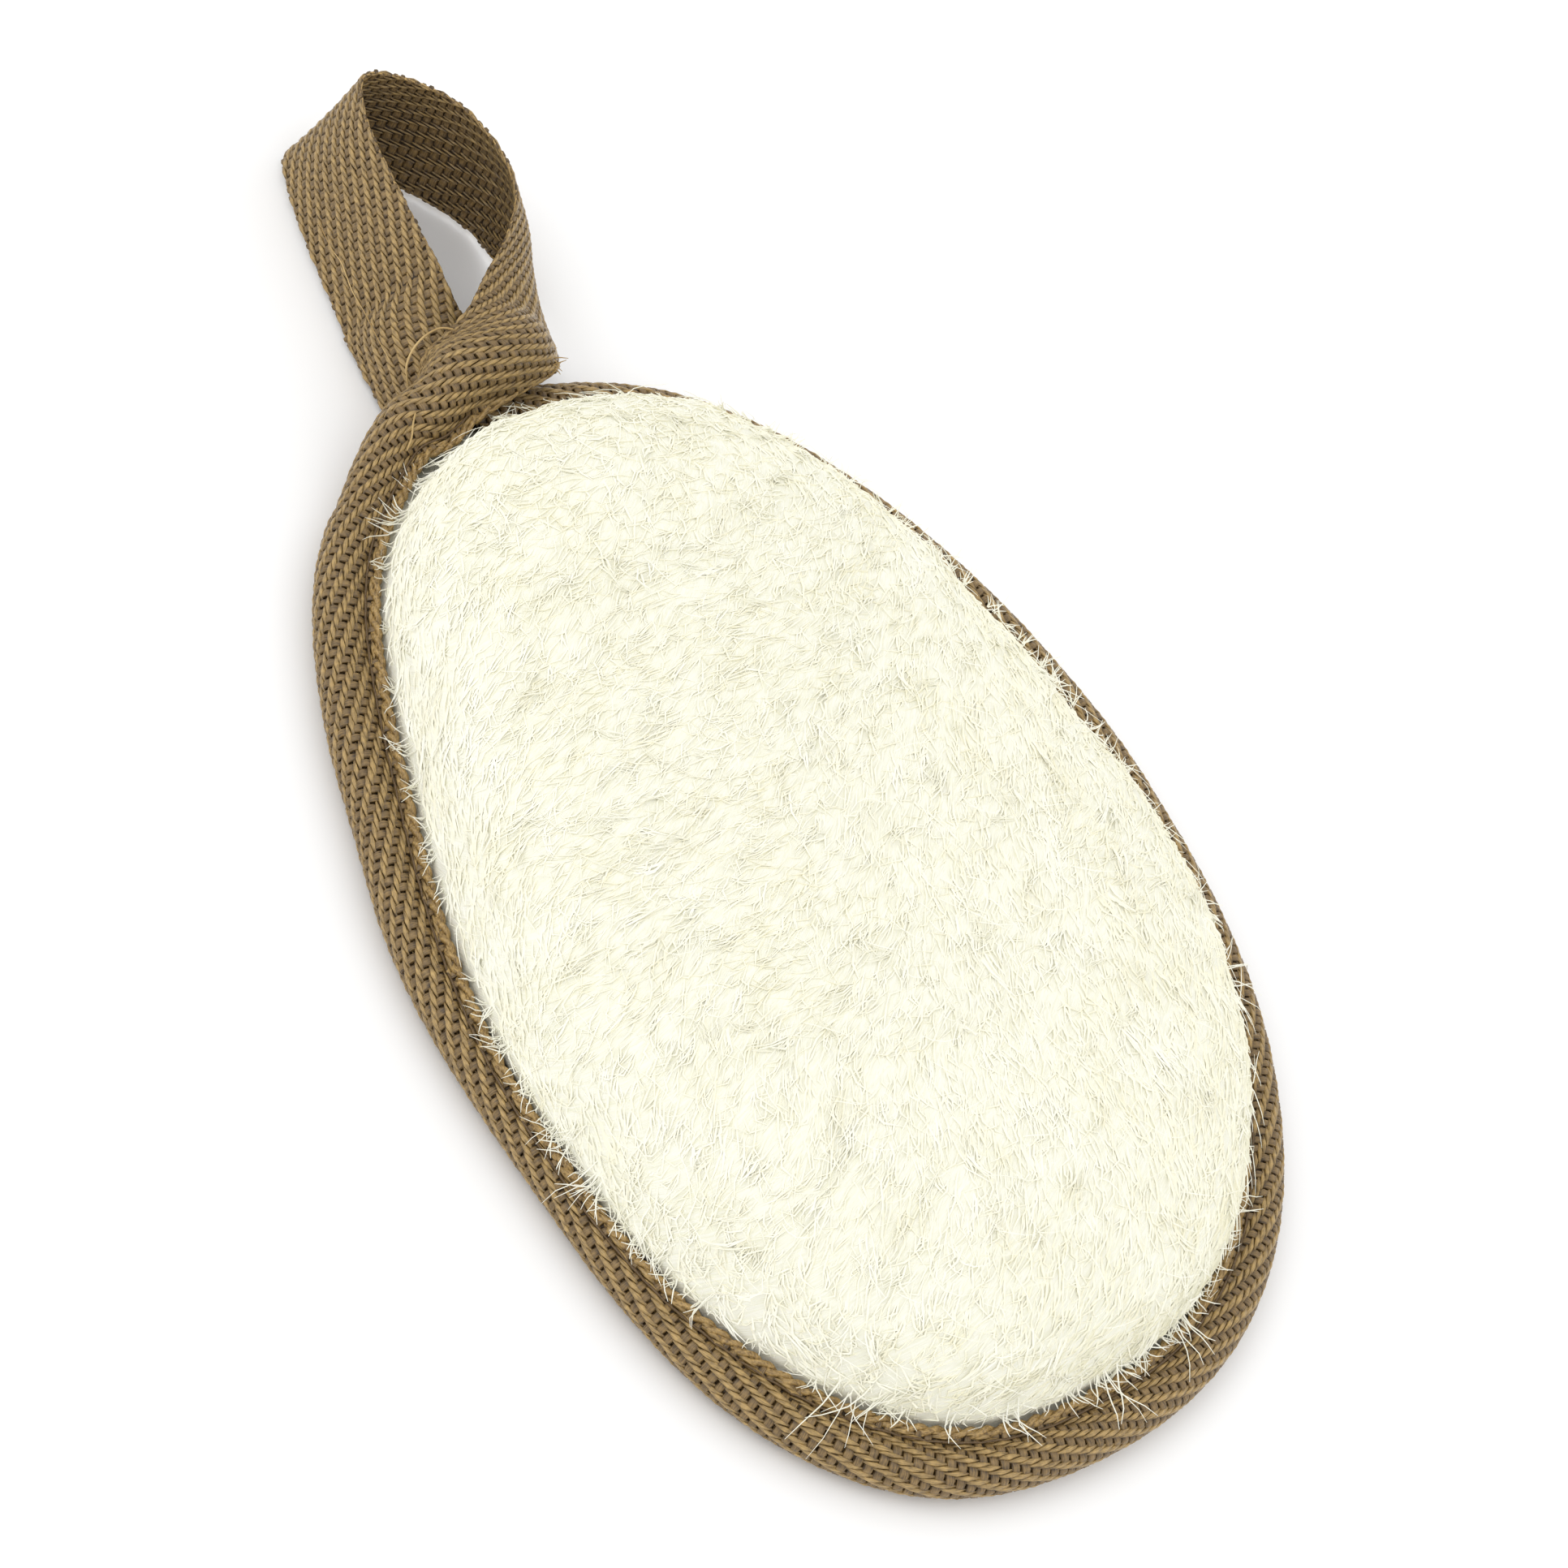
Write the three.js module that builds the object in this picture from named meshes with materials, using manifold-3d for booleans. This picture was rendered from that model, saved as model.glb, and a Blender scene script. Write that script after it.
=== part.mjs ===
// Oval loofah pad with a woven tape round its rim that runs on into a hanging loop.
// Millimetres, +Z up, the pad lies on its cloth back at z = 0, the loop at its -X end.
import * as THREE from 'three';
import Module from 'manifold-3d';

const wasm = await Module();
wasm.setup();

// Rim: the line that the folded tape bends round, a superellipse with a hand-sewn wobble.
const rim = {
	halfLength: 76.5, halfWidth: 51.2, squareness: 2.39, height: 3.7,
	wobble: [ [ 1, - 0.12, 0.30 ], [ 3, - 0.88, - 1.25 ], [ 4, 0.88, - 0.30 ], [ 5, - 0.39, - 0.68 ] ],
};

const tape = { width: 18, thickness: 1.2, foldRadius: 3, flap: 4.3, startAngle: - 173, endAngle: - 518, step: 4.2 };
// How far the tape is pulled outwards and down over the rim, by the angle in degrees: along the near
// long side hardly any of it lies on top of the pad.
const tapeSlides = [
	[ - 180, 0 ], [ - 135, 0.1 ], [ - 120, 0.6 ], [ - 105, 1.3 ], [ - 92, 2.3 ], [ - 80, 3.6 ], [ - 70, 4.1 ], [ - 55, 4.1 ],
	[ - 45, 3.4 ], [ - 36, 2.0 ], [ - 25, 0.9 ], [ 0, 0.7 ], [ 30, 0.8 ], [ 60, 0.6 ], [ 100, 0.3 ], [ 150, 0 ], [ 180, 0 ],
];
const groove = { fromEdge: 1.5, halfWidth: 0.75, depth: 0.62 };
const thread = { radius: 0.3 };

const loofah = { edge: 1.9, flangeLow: 2.75, flangeHigh: 5.7, under: 1.45, tuft: 1.0, grid: 2.45, strandCount: 98, strandRadius: 0.42 };
const cloth = { edge: 2.2, thickness: 1.15, channelLow: 1.5 };

// Height of the loofah face against the distance in from the rim line.
const facePoints = [
	[ 5.0, 6.6 ], [ 5.1, 9.2 ], [ 5.6, 12.4 ], [ 6.6, 15.6 ], [ 8.2, 18.4 ], [ 10.6, 20.9 ], [ 14, 23.1 ], [ 19, 25.0 ], [ 25, 26.4 ],
];
const faceMiddle = 27.6;

// The tape beyond the rim: its under edge, its upper edge and the way its outer face looks.
// It climbs over the pad's end, turns over, and stands on its upper edge all round the loop.
// A fourth value hollows the tape's middle, in millimetres.
const loopStations = [
	[ [ - 78.4, - 18.8, 0.8 ], [ - 72.0, - 19.8, 8.2 ], [ - 0.80, - 0.35, 0.50 ] ],
	[ [ - 81.8, - 15.6, 4.2 ], [ - 72.6, - 15.9, 9.2 ], [ - 0.62, - 0.20, 0.76 ] ],
	[ [ - 86.0, - 13.6, 9.6 ], [ - 75.4, - 10.4, 10.2 ], [ - 0.25, - 0.10, 0.96 ] ],
	[ [ - 86.8, - 11.4, 13.0 ], [ - 77.6, - 2.9, 10.4 ], [ - 0.05, 0.05, 1.0 ] ],
	[ [ - 88.4, - 8.0, 15.6 ], [ - 79.8, 3.3, 9.6 ], [ 0.10, 0.22, 0.96 ] ],
	[ [ - 90.6, - 5.4, 16.6 ], [ - 84.9, 7.4, 6.2 ], [ 0.10, 0.50, 0.84 ] ],
	[ [ - 92.8, - 3.0, 17.3 ], [ - 91.5, 9.0, 4.8 ], [ 0.10, 0.70, 0.68 ] ],
	[ [ - 95.6, 0.4, 17.7 ], [ - 97.6, 10.2, 3.6 ], [ 0.10, 0.78, 0.60 ] ],
	[ [ - 98.8, 3.4, 17.9 ], [ - 101.8, 9.6, 2.6 ], [ 0.10, 0.85, 0.50 ] ],
	[ [ - 103.4, 6.6, 18.0 ], [ - 105.8, 9.4, 1.2 ], [ 0.05, 0.97, 0.25 ] ],
	[ [ - 110.4, 8.0, 18.0 ], [ - 110.6, 8.8, 0.7 ], [ - 0.15, 1.0, 0.0 ] ],
	[ [ - 119.0, 6.3, 17.9 ], [ - 116.6, 5.0, 0.7 ], [ - 0.55, 0.85, 0.0 ] ],
	[ [ - 124.4, 1.6, 17.8 ], [ - 123.2, - 1.2, 0.7 ], [ - 0.9, 0.45, 0.0 ] ],
	[ [ - 126.9, - 3.2, 17.7 ], [ - 128.4, - 8.4, 0.7 ], [ - 0.98, 0.0, 0.0 ], 1.1 ],
	[ [ - 125.2, - 5.6, 17.7 ], [ - 127.6, - 11.8, 0.7 ], [ - 0.6, - 0.8, 0.1 ], 0.7 ],
	[ [ - 118.2, - 7.8, 17.6 ], [ - 120.6, - 13.8, 0.6 ], [ - 0.15, - 0.98, 0.2 ] ],
	[ [ - 107.0, - 8.3, 17.5 ], [ - 110.2, - 15.6, 0.6 ], [ - 0.02, - 0.95, 0.25 ] ],
	[ [ - 97.6, - 8.4, 17.0 ], [ - 99.6, - 16.6, 0.6 ], [ 0.02, - 0.92, 0.35 ] ],
	[ [ - 90.4, - 6.2, 12.2 ], [ - 91.6, - 17.0, 0.7 ], [ 0.03, - 0.82, 0.55 ] ],
	[ [ - 82.8, - 4.0, 9.4 ], [ - 83.0, - 17.2, 0.9 ], [ 0.05, - 0.62, 0.78 ] ],
];

const random = seededRandom( 7 );

const part = new THREE.Group();
part.name = 'loofah_pad_with_loop';

const ribbon = tapeStations();

part.add( named( 'loofah_pad', loofahPad() ) );
part.add( named( 'back_cloth', backCloth() ) );
part.add( named( 'binding_tape', bindingTape() ) );
part.add( named( 'seam_thread_top', seamThread( 1 ) ) );
part.add( named( 'seam_thread_under', seamThread( - 1 ) ) );

export default part;

// A mesh with its name.
function named( name, geometry ) {

	const mesh = new THREE.Mesh( geometry, new THREE.MeshStandardMaterial() );
	mesh.name = name;
	return mesh;

}

// Repeatable random numbers from 0 to 1.
function seededRandom( seed ) {

	let state = seed;
	return () => {

		state = ( state * 48271 ) % 2147483647;
		return state / 2147483647;

	};

}

// Point of the rim line and the direction out of it, at an angle in radians.
function rimPoint( angle ) {

	const at = ( a ) => {

		const c = Math.abs( Math.cos( a ) / rim.halfLength ) ** rim.squareness;
		const s = Math.abs( Math.sin( a ) / rim.halfWidth ) ** rim.squareness;
		let radius = ( c + s ) ** ( - 1 / rim.squareness );
		for ( const [ n, p, q ] of rim.wobble ) radius += p * Math.cos( n * a ) + q * Math.sin( n * a );
		return new THREE.Vector3( radius * Math.cos( a ), radius * Math.sin( a ), 0 );

	};

	const along = at( angle + 0.02 ).sub( at( angle - 0.02 ) ).normalize();
	return { point: at( angle ), out: new THREE.Vector3( along.y, - along.x, 0 ) };

}

// How far the tape slides outwards at an angle in radians.
function tapeSlide( angle ) {

	const degrees = angle * 180 / Math.PI;
	return between( tapeSlides, degrees - 360 * Math.round( degrees / 360 ) );

}

// Point at a distance in from the rim line; past 25 mm the rest of the way shrinks to the middle.
function inwardPoint( angle, distance, toMiddle = 0 ) {

	const { point, out } = rimPoint( angle );
	return point.addScaledVector( out, - distance ).multiplyScalar( 1 - toMiddle );

}

// Piecewise smooth value between [ place, value ] pairs.
function between( pairs, place ) {

	if ( place <= pairs[ 0 ][ 0 ] ) return pairs[ 0 ][ 1 ];
	for ( let i = 1; i < pairs.length; i ++ ) {

		if ( place <= pairs[ i ][ 0 ] ) {

			const t = ( place - pairs[ i - 1 ][ 0 ] ) / ( pairs[ i ][ 0 ] - pairs[ i - 1 ][ 0 ] );
			return pairs[ i - 1 ][ 1 ] + t * ( pairs[ i ][ 1 ] - pairs[ i - 1 ][ 1 ] );

		}

	}

	return pairs[ pairs.length - 1 ][ 1 ];

}

// A closed solid from rings of points, each ring the same length. A ring's first points, up to split,
// run along one side of the section and the rest back along the other; the end caps are zipped between them.
function loft( rings, split ) {

	const count = rings[ 0 ].length;
	const positions = rings.flat().flatMap( ( p ) => [ p.x, p.y, p.z ] );
	const faces = [];
	for ( let i = 0; i < rings.length - 1; i ++ ) {

		const next = i + 1;
		for ( let j = 0; j < count; j ++ ) {

			const k = ( j + 1 ) % count;
			faces.push( i * count + j, next * count + j, next * count + k );
			faces.push( i * count + j, next * count + k, i * count + k );

		}

	}

	const back = count - split;
	for ( let i = 0, j = 0; i < split - 1 || j < back - 1; ) {

		const onFirst = j >= back - 1 || ( i < split - 1 && ( i + 1 ) / ( split - 1 ) <= ( j + 1 ) / ( back - 1 ) );
		const cap = onFirst ? [ i, i + 1, count - 1 - j ] : [ i, count - 2 - j, count - 1 - j ];
		faces.push( ...cap, ...cap.toReversed().map( ( at ) => ( rings.length - 1 ) * count + at ) );
		if ( onFirst ) i ++;
		else j ++;

	}

	return { positions, faces };

}

function manifoldOf( { positions, faces } ) {

	const mesh = new wasm.Mesh( { numProp: 3, vertProperties: new Float32Array( positions ), triVerts: new Uint32Array( faces ) } );
	const solid = new wasm.Manifold( mesh );
	return solid.volume() < 0 ? manifoldOf( { positions, faces: faces.slice().reverse() } ) : solid;

}

function geometryOf( solid ) {

	const mesh = solid.getMesh();
	const geometry = new THREE.BufferGeometry();
	geometry.setAttribute( 'position', new THREE.Float32BufferAttribute( Array.from( mesh.vertProperties ), 3 ) );
	geometry.setIndex( Array.from( mesh.triVerts ) );
	return geometry;

}

// The solid's largest connected surface, without the small pockets that crossing strands close off.
function outerSurface( solid ) {

	const pieces = solid.decompose().filter( ( piece ) => piece.volume() > 0 );
	return pieces.reduce( ( a, b ) => ( a.volume() > b.volume() ? a : b ) );

}

// A disc-like solid from rings of points, the first ring round the middle of its underside,
// the last round the middle of its top; neighbouring rings may differ in their number of points.
function oval( rings, lowMiddle, topMiddle ) {

	const positions = rings.flat().flatMap( ( p ) => [ p.x, p.y, p.z ] );
	const faces = [];
	let start = 0;
	for ( let r = 0; r < rings.length - 1; r ++ ) {

		const [ a, b ] = [ rings[ r ].length, rings[ r + 1 ].length ];
		const next = start + a;
		for ( let i = 0, j = 0; i < a || j < b; ) {

			const onFirst = j >= b || ( i < a && ( i + 1 ) / a <= ( j + 1 ) / b );
			if ( onFirst ) faces.push( start + i % a, start + ( i + 1 ) % a, next + j % b );
			else faces.push( start + i % a, next + ( j + 1 ) % b, next + j % b );
			if ( onFirst ) i ++;
			else j ++;

		}

		start = next;

	}

	const low = positions.length / 3;
	positions.push( 0, 0, lowMiddle, 0, 0, topMiddle );
	for ( let i = 0; i < rings[ 0 ].length; i ++ ) faces.push( low, ( i + 1 ) % rings[ 0 ].length, i );
	const end = rings[ rings.length - 1 ].length;
	for ( let i = 0; i < end; i ++ ) faces.push( low + 1, start + i, start + ( i + 1 ) % end );
	return manifoldOf( { positions, faces } );

}

// A level ring of points at a distance in from the rim line, which may follow the tape's slide.
function levelRing( distance, toMiddle, height, count, follow = 0 ) {

	return Array.from( { length: count }, ( _, i ) => {

		const angle = 2 * Math.PI * i / count;
		return inwardPoint( angle, distance + follow * tapeSlide( angle ), toMiddle ).setZ( height );

	} );

}

// Smooth random value from -1 to 1 that changes from one unit cell to the next.
function noise( x, y ) {

	const hash = ( i, j ) => {

		const v = Math.sin( i * 127.1 + j * 311.7 ) * 43758.5453;
		return 2 * ( v - Math.floor( v ) ) - 1;

	};

	const [ i, j ] = [ Math.floor( x ), Math.floor( y ) ];
	const [ u, v ] = [ x - i, y - j ].map( ( t ) => t * t * ( 3 - 2 * t ) );
	const low = hash( i, j ) * ( 1 - u ) + hash( i + 1, j ) * u;
	const high = hash( i, j + 1 ) * ( 1 - u ) + hash( i + 1, j + 1 ) * u;
	return low * ( 1 - v ) + high * v;

}

// Direction that the strands are combed in, in the plane of the pad.
function combAngle( x, y ) {

	return 2.3 + 0.0035 * x + 0.25 * Math.sin( y / 17 + x / 40 );

}

// Combed tufts of the loofah face: long low ridges along the strands, on a gentle swell.
function tufts( x, y ) {

	const bend = 2.2 * Math.sin( x / 15 + 0.6 ) + 1.8 * Math.sin( y / 11 - 1.1 );
	const [ c, s ] = [ Math.cos( 2.3 ), Math.sin( 2.3 ) ];
	const [ along, across ] = [ x * c + y * s, y * c - x * s + bend ];
	const combed = noise( along / 13, across / 3.4 );
	const clumps = noise( along / 20 + 40, across / 7 + 9 );
	return loofah.tuft * ( 1.0 * combed + 0.6 * clumps + 0.3 * noise( x / 16, y / 16 ) );

}

// Height of the smooth face at a distance in from the rim line, or further towards the middle.
function smoothHeight( distance, toMiddle ) {

	const last = facePoints[ facePoints.length - 1 ][ 1 ];
	return toMiddle > 0 ? last + ( faceMiddle - last ) * ( 1 - ( 1 - toMiddle ) ** 2 ) : between( facePoints, distance );

}

// A point of the tufted face; above the tape's edge the face swells out over it a little.
function facePoint( angle, distance, toMiddle = 0 ) {

	const { out } = rimPoint( angle );
	const height = smoothHeight( distance, toMiddle );
	const slope = toMiddle > 0 ? 0.03 : ( smoothHeight( distance + 0.4, 0 ) - smoothHeight( distance - 0.4, 0 ) ) / 0.8;
	const fromCrossing = ( ( angle * 180 / Math.PI + 360 ) % 360 - 188 ) / 17;
	const underTape = Math.exp( - fromCrossing * fromCrossing );
	const recess = underTape * Math.max( 0, 1.6 - 0.12 * Math.max( 0, height - 10 ) );
	const bulge = tapeSlide( angle ) * Math.min( 1, Math.max( 0, ( 25 - distance ) / 20 ) ) ** 1.5;
	const point = inwardPoint( angle, distance + recess - bulge, toMiddle ).setZ( height );
	const soft = Math.min( 1, Math.max( 0, ( height - 8 ) / 4 ) );
	const normal = out.multiplyScalar( Math.min( slope, 6 ) ).setZ( 1 ).normalize();
	return point.addScaledVector( normal, soft * tufts( point.x + 0.7 * height, point.y - 0.5 * height ) );

}

function loofahPad() {

	const { under, edge, flangeLow, flangeHigh, grid } = loofah;
	const rings = [
		levelRing( 14.5, 0.5, under, 36 ),
		levelRing( 14.5, 0, under, 60 ),
		levelRing( 8.6, 0, under, 84, 1 ),
		levelRing( 5.4, 0, flangeLow, 84, 1 ),
		levelRing( edge, 0, flangeLow, 84 ),
		levelRing( edge, 0, flangeHigh - 0.3, 84 ),
		levelRing( 5.0, 0, flangeHigh, 84, - 1 ),
	];
	const faceRing = ( distance, toMiddle ) => {

		const girth = 395 * ( 1 - distance / 66 ) * ( 1 - toMiddle );
		const count = Math.max( 8, Math.round( girth / grid ) );
		rings.push( Array.from( { length: count }, ( _, i ) => facePoint( 2 * Math.PI * i / count, distance, toMiddle ) ) );

	};

	for ( const distance of [ 5.0, 5.1, 5.5, 6.0, 6.8, 7.8, 9.0, 10.6, 12.4, 14.4, 16.6, 18.8, 20.9, 22.9, 25 ] ) faceRing( distance, 0 );
	for ( let t = 0.055; t < 0.96; t += 0.072 ) faceRing( 25, t );
	let pad = oval( rings, under, faceMiddle );
	for ( const strand of strands() ) pad = pad.add( strand );
	return geometryOf( outerSurface( pad ) );

}

// Thin curved strands with their roots sunk into the face, spread evenly and out over the sides.
function strands() {

	const list = [];
	const { strandCount, strandRadius } = loofah;
	for ( let i = 0; i < strandCount; i ++ ) {

		const angle = i * 2.39996;
		const share = Math.sqrt( ( i + 0.5 ) / strandCount );
		const onSide = share > 0.86;
		const distance = onSide ? 6.5 + 9 * random() : 25;
		const root = onSide ? facePoint( angle, distance ) : facePoint( angle, 25, 1 - share / 0.86 );
		if ( root.x < - 58 ) continue;
		const out = rimPoint( angle ).out;
		const turn = onSide ? Math.atan2( out.y, out.x ) + 1.3 * ( random() - 0.5 )
			: combAngle( root.x, root.y ) + 0.8 * ( random() - 0.5 ) + ( random() < 0.5 ? Math.PI : 0 );
		const length = onSide ? 4.2 + 1.6 * random() : 9 + 5 * random();
		const curl = 1.4 * ( random() - 0.5 );
		const rise = onSide ? 0.15 + 0.4 * random() : 0.12 + 0.1 * random();
		const path = [ - 0.18, 0.25, 0.65, 1 ].map( ( t ) => {

			const heading = turn + curl * t;
			return new THREE.Vector3( root.x + length * t * Math.cos( heading ), root.y + length * t * Math.sin( heading ),
				root.z + length * ( rise * t - 0.35 * rise * t * t ) - ( t < 0 ? 0.5 : 0 ) );

		} );
		list.push( manifoldOf( loft( tube( path, strandRadius, 3 ), 2 ) ) );

	}

	return list;

}

// Rings of a thin tube along a path.
function tube( path, radius, sides ) {

	return path.map( ( p, i ) => {

		const ahead = path[ Math.min( i + 1, path.length - 1 ) ].clone().sub( path[ Math.max( i - 1, 0 ) ] ).normalize();
		const side = new THREE.Vector3( 0, 0, 1 ).cross( ahead ).normalize();
		const up = ahead.clone().cross( side );
		return Array.from( { length: sides }, ( _, k ) => {

			const a = 2 * Math.PI * ( k + 0.25 ) / sides;
			return p.clone().addScaledVector( side, radius * Math.cos( a ) ).addScaledVector( up, radius * Math.sin( a ) );

		} );

	} );

}

function backCloth() {

	const { thickness, channelLow, edge } = cloth;
	const channelTop = channelLow + thickness - 0.1;
	return geometryOf( oval( [
		levelRing( 14.5, 0.5, 0, 28 ),
		levelRing( 14.5, 0, 0, 48 ),
		levelRing( 8.2, 0, 0, 84, 1 ),
		levelRing( 5.0, 0, channelLow, 84, 1 ),
		levelRing( edge, 0, channelLow, 84 ),
		levelRing( edge, 0, channelTop, 84 ),
		levelRing( 5.4, 0, channelTop, 84, 1 ),
		levelRing( 8.8, 0, thickness, 84, 1 ),
		levelRing( 14.5, 0.5, thickness, 28 ),
	], 0, thickness ) );

}

// Tape places in order: the folded part round the rim, then the loop.
function tapeStations() {

	const places = [];
	for ( let degrees = tape.startAngle; degrees >= tape.endAngle; degrees -= 3.75 ) {

		const { point, out } = rimPoint( degrees * Math.PI / 180 );
		const edge = point.clone().addScaledVector( out, - tape.flap );
		const under = edge.clone().setZ( rim.height - tape.foldRadius );
		const upper = edge.clone().setZ( rim.height + tape.foldRadius );
		places.push( { under, upper, out, hollow: 0, slide: tapeSlide( degrees * Math.PI / 180 ) } );

	}

	const seam = places.length;
	for ( const [ under, upper, out, hollow = 0 ] of loopStations ) {

		const [ a, b, c ] = [ under, upper, out ].map( ( v ) => new THREE.Vector3( ...v ) );
		places.push( { under: a, upper: b, out: c, hollow, slide: 0 } );

	}

	const curves = [ 'under', 'upper', 'out' ].map( ( key ) => places.map( ( place ) => place[ key ] ) );
	const stations = [];
	for ( let i = 0; i < places.length - 1; i ++ ) {

		const span = middleOf( places[ i ] ).distanceTo( middleOf( places[ i + 1 ] ) );
		const cuts = Math.max( 1, Math.round( span / ( i < seam - 1 ? tape.step : 3 ) ) );
		for ( let k = 0; k < cuts; k ++ ) {

			const [ under, upper, out ] = curves.map( ( points ) => smoothAt( points, i, k / cuts ) );
			const [ hollow, slide ] = [ 'hollow', 'slide' ].map( ( key ) => {

				return places[ i ][ key ] * ( 1 - k / cuts ) + places[ i + 1 ][ key ] * k / cuts;

			} );
			stations.push( { under, upper, out, hollow, slide, sewn: i < seam + 3 ? 1 : 0 } );

		}

	}

	const [ under, upper, out ] = curves.map( ( points ) => points[ points.length - 1 ] );
	stations.push( { under, upper, out, hollow: 0, slide: 0, sewn: 0 } );
	return stations.map( bentTape );

}

function middleOf( { under, upper } ) {

	return under.clone().add( upper ).multiplyScalar( 0.5 );

}

// Smooth curve through points, between point i and the next.
function smoothAt( points, i, t ) {

	const [ a, b, c, d ] = [ i - 1, i, i + 1, i + 2 ].map( ( k ) => points[ Math.min( Math.max( k, 0 ), points.length - 1 ) ] );
	const out = new THREE.Vector3();
	for ( const axis of [ 'x', 'y', 'z' ] ) {

		const m = ( c[ axis ] - a[ axis ] ) / 2;
		const n = ( d[ axis ] - b[ axis ] ) / 2;
		out[ axis ] = ( 2 * t ** 3 - 3 * t ** 2 + 1 ) * b[ axis ] + ( t ** 3 - 2 * t ** 2 + t ) * m
			+ ( 3 * t ** 2 - 2 * t ** 3 ) * c[ axis ] + ( t ** 3 - t ** 2 ) * n;

	}

	return out;

}

// How far the tape bends at a station, from the distance between its two edges.
function bentTape( { under, upper, out, hollow, slide, sewn } ) {

	const across = upper.clone().sub( under );
	const chord = Math.min( across.length(), tape.width - 0.02 );
	across.normalize();
	const face = out.clone().addScaledVector( across, - out.dot( across ) ).normalize();
	const bendHalf = tape.width / 2 - tape.flap;
	let low = 0.001;
	let high = Math.PI / 2 / bendHalf;
	for ( let i = 0; i < 40; i ++ ) {

		const k = ( low + high ) / 2;
		const angle = k * bendHalf;
		const half = Math.sin( angle ) / k + tape.flap * Math.cos( angle );
		if ( 2 * half > chord ) low = k;
		else high = k;

	}

	const k = ( low + high ) / 2;
	const depth = ( 1 - Math.cos( k * bendHalf ) ) / k + tape.flap * Math.sin( k * bendHalf );
	const crown = middleOf( { under, upper } ).addScaledVector( face, depth );
	const at = ( u, h ) => {

		const w = u - slide;
		const v = Math.min( Math.abs( w ), bendHalf );
		const rest = Math.abs( w ) - v;
		const angle = k * v;
		const x = Math.sign( w ) * ( Math.sin( angle ) / k + rest * Math.cos( angle ) + h * Math.sin( angle ) );
		const dip = hollow * ( 1 - ( 2 * u / tape.width ) ** 2 );
		const y = ( 1 - Math.cos( angle ) ) / k + rest * Math.sin( angle ) - h * Math.cos( angle ) + dip;
		return crown.clone().addScaledVector( across, x ).addScaledVector( face, - y );

	};

	return { at, sewn };

}

function bindingTape() {

	const half = tape.width / 2;
	const top = tape.thickness / 2;
	const line = half - groove.fromEdge;
	const ribs = [ line - groove.halfWidth - 0.15, 4.2, 2.1, 0 ];
	const rings = ribbon.map( ( { at, sewn }, i ) => {

		const deep = top - groove.depth * sewn;
		const side = [ [ half, top - 0.15 ], [ line + groove.halfWidth + 0.12, top ], [ line + groove.halfWidth - 0.1, deep ], [ line - groove.halfWidth + 0.1, deep ] ];
		const outer = [ ...side, ...ribs.map( ( u ) => [ u, top ] ) ];
		const mirrored = outer.slice( 0, - 1 ).reverse().map( ( [ u, h ] ) => [ - u, h ] );
		const inner = [ - half, - 4.7, - 2.3, 0, 2.3, 4.7, half ].map( ( u ) => [ u, - top + ( Math.abs( u ) === half ? 0.15 : 0 ) ] );
		return [ ...outer, ...mirrored, ...inner ].map( ( [ u, h ] ) => at( u, h ) );

	} );
	return geometryOf( manifoldOf( loft( rings, 2 * ( ribs.length + 4 ) - 1 ) ) );

}

// One side of the lock-stitched seam, a thread that lies in the tape's groove.
function seamThread( side ) {

	const line = tape.width / 2 - groove.fromEdge;
	const path = ribbon.filter( ( { sewn } ) => sewn ).slice( 2, - 3 );
	const rings = path.map( ( { at }, i ) => {

		const lift = tape.thickness / 2 - 0.12 - ( i % 2 ? 0.08 : 0 );
		return Array.from( { length: 4 }, ( _, k ) => {

			const a = Math.PI / 4 + Math.PI / 2 * k;
			return at( side * ( line + thread.radius * Math.cos( a ) ), lift + thread.radius * Math.sin( a ) );

		} );

	} );
	return geometryOf( manifoldOf( loft( rings, 2 ) ) );

}
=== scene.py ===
import math

import bmesh
import bpy
import numpy as np
from mathutils import Matrix, Vector
from mathutils.bvhtree import BVHTree


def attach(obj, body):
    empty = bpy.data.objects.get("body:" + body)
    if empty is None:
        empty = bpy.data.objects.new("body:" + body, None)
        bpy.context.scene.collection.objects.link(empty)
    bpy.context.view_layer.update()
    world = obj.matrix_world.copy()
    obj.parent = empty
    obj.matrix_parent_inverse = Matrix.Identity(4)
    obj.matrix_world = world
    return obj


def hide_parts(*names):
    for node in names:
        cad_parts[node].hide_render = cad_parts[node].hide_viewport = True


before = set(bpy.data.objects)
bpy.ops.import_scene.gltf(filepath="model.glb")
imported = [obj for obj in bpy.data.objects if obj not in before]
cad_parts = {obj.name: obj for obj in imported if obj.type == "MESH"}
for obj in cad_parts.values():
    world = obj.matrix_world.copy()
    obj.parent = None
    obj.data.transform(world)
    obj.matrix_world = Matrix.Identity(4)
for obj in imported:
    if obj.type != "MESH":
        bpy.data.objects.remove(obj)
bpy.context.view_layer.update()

# Oval loofah pad with a woven tape round its rim that runs on into a hanging loop.
# Shapes are worked out in millimetres, as in the part's source, and written in metres.
mm = 0.001
chance = np.random.default_rng(11)


def paint(red, green, blue):
    # screen colour to the linear colour that shaders take
    values = [v / 255 for v in (red, green, blue)]
    return (*[v / 12.92 if v <= 0.04045 else ((v + 0.055) / 1.055) ** 2.4 for v in values], 1)


# ---- camera ----
view = {
    "turn": 34.93, "height": 50, "roll": 32, "distance": 545.72,
    "sideways": -0.944, "upwards": 16.79, "lens": 100,
}


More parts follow.
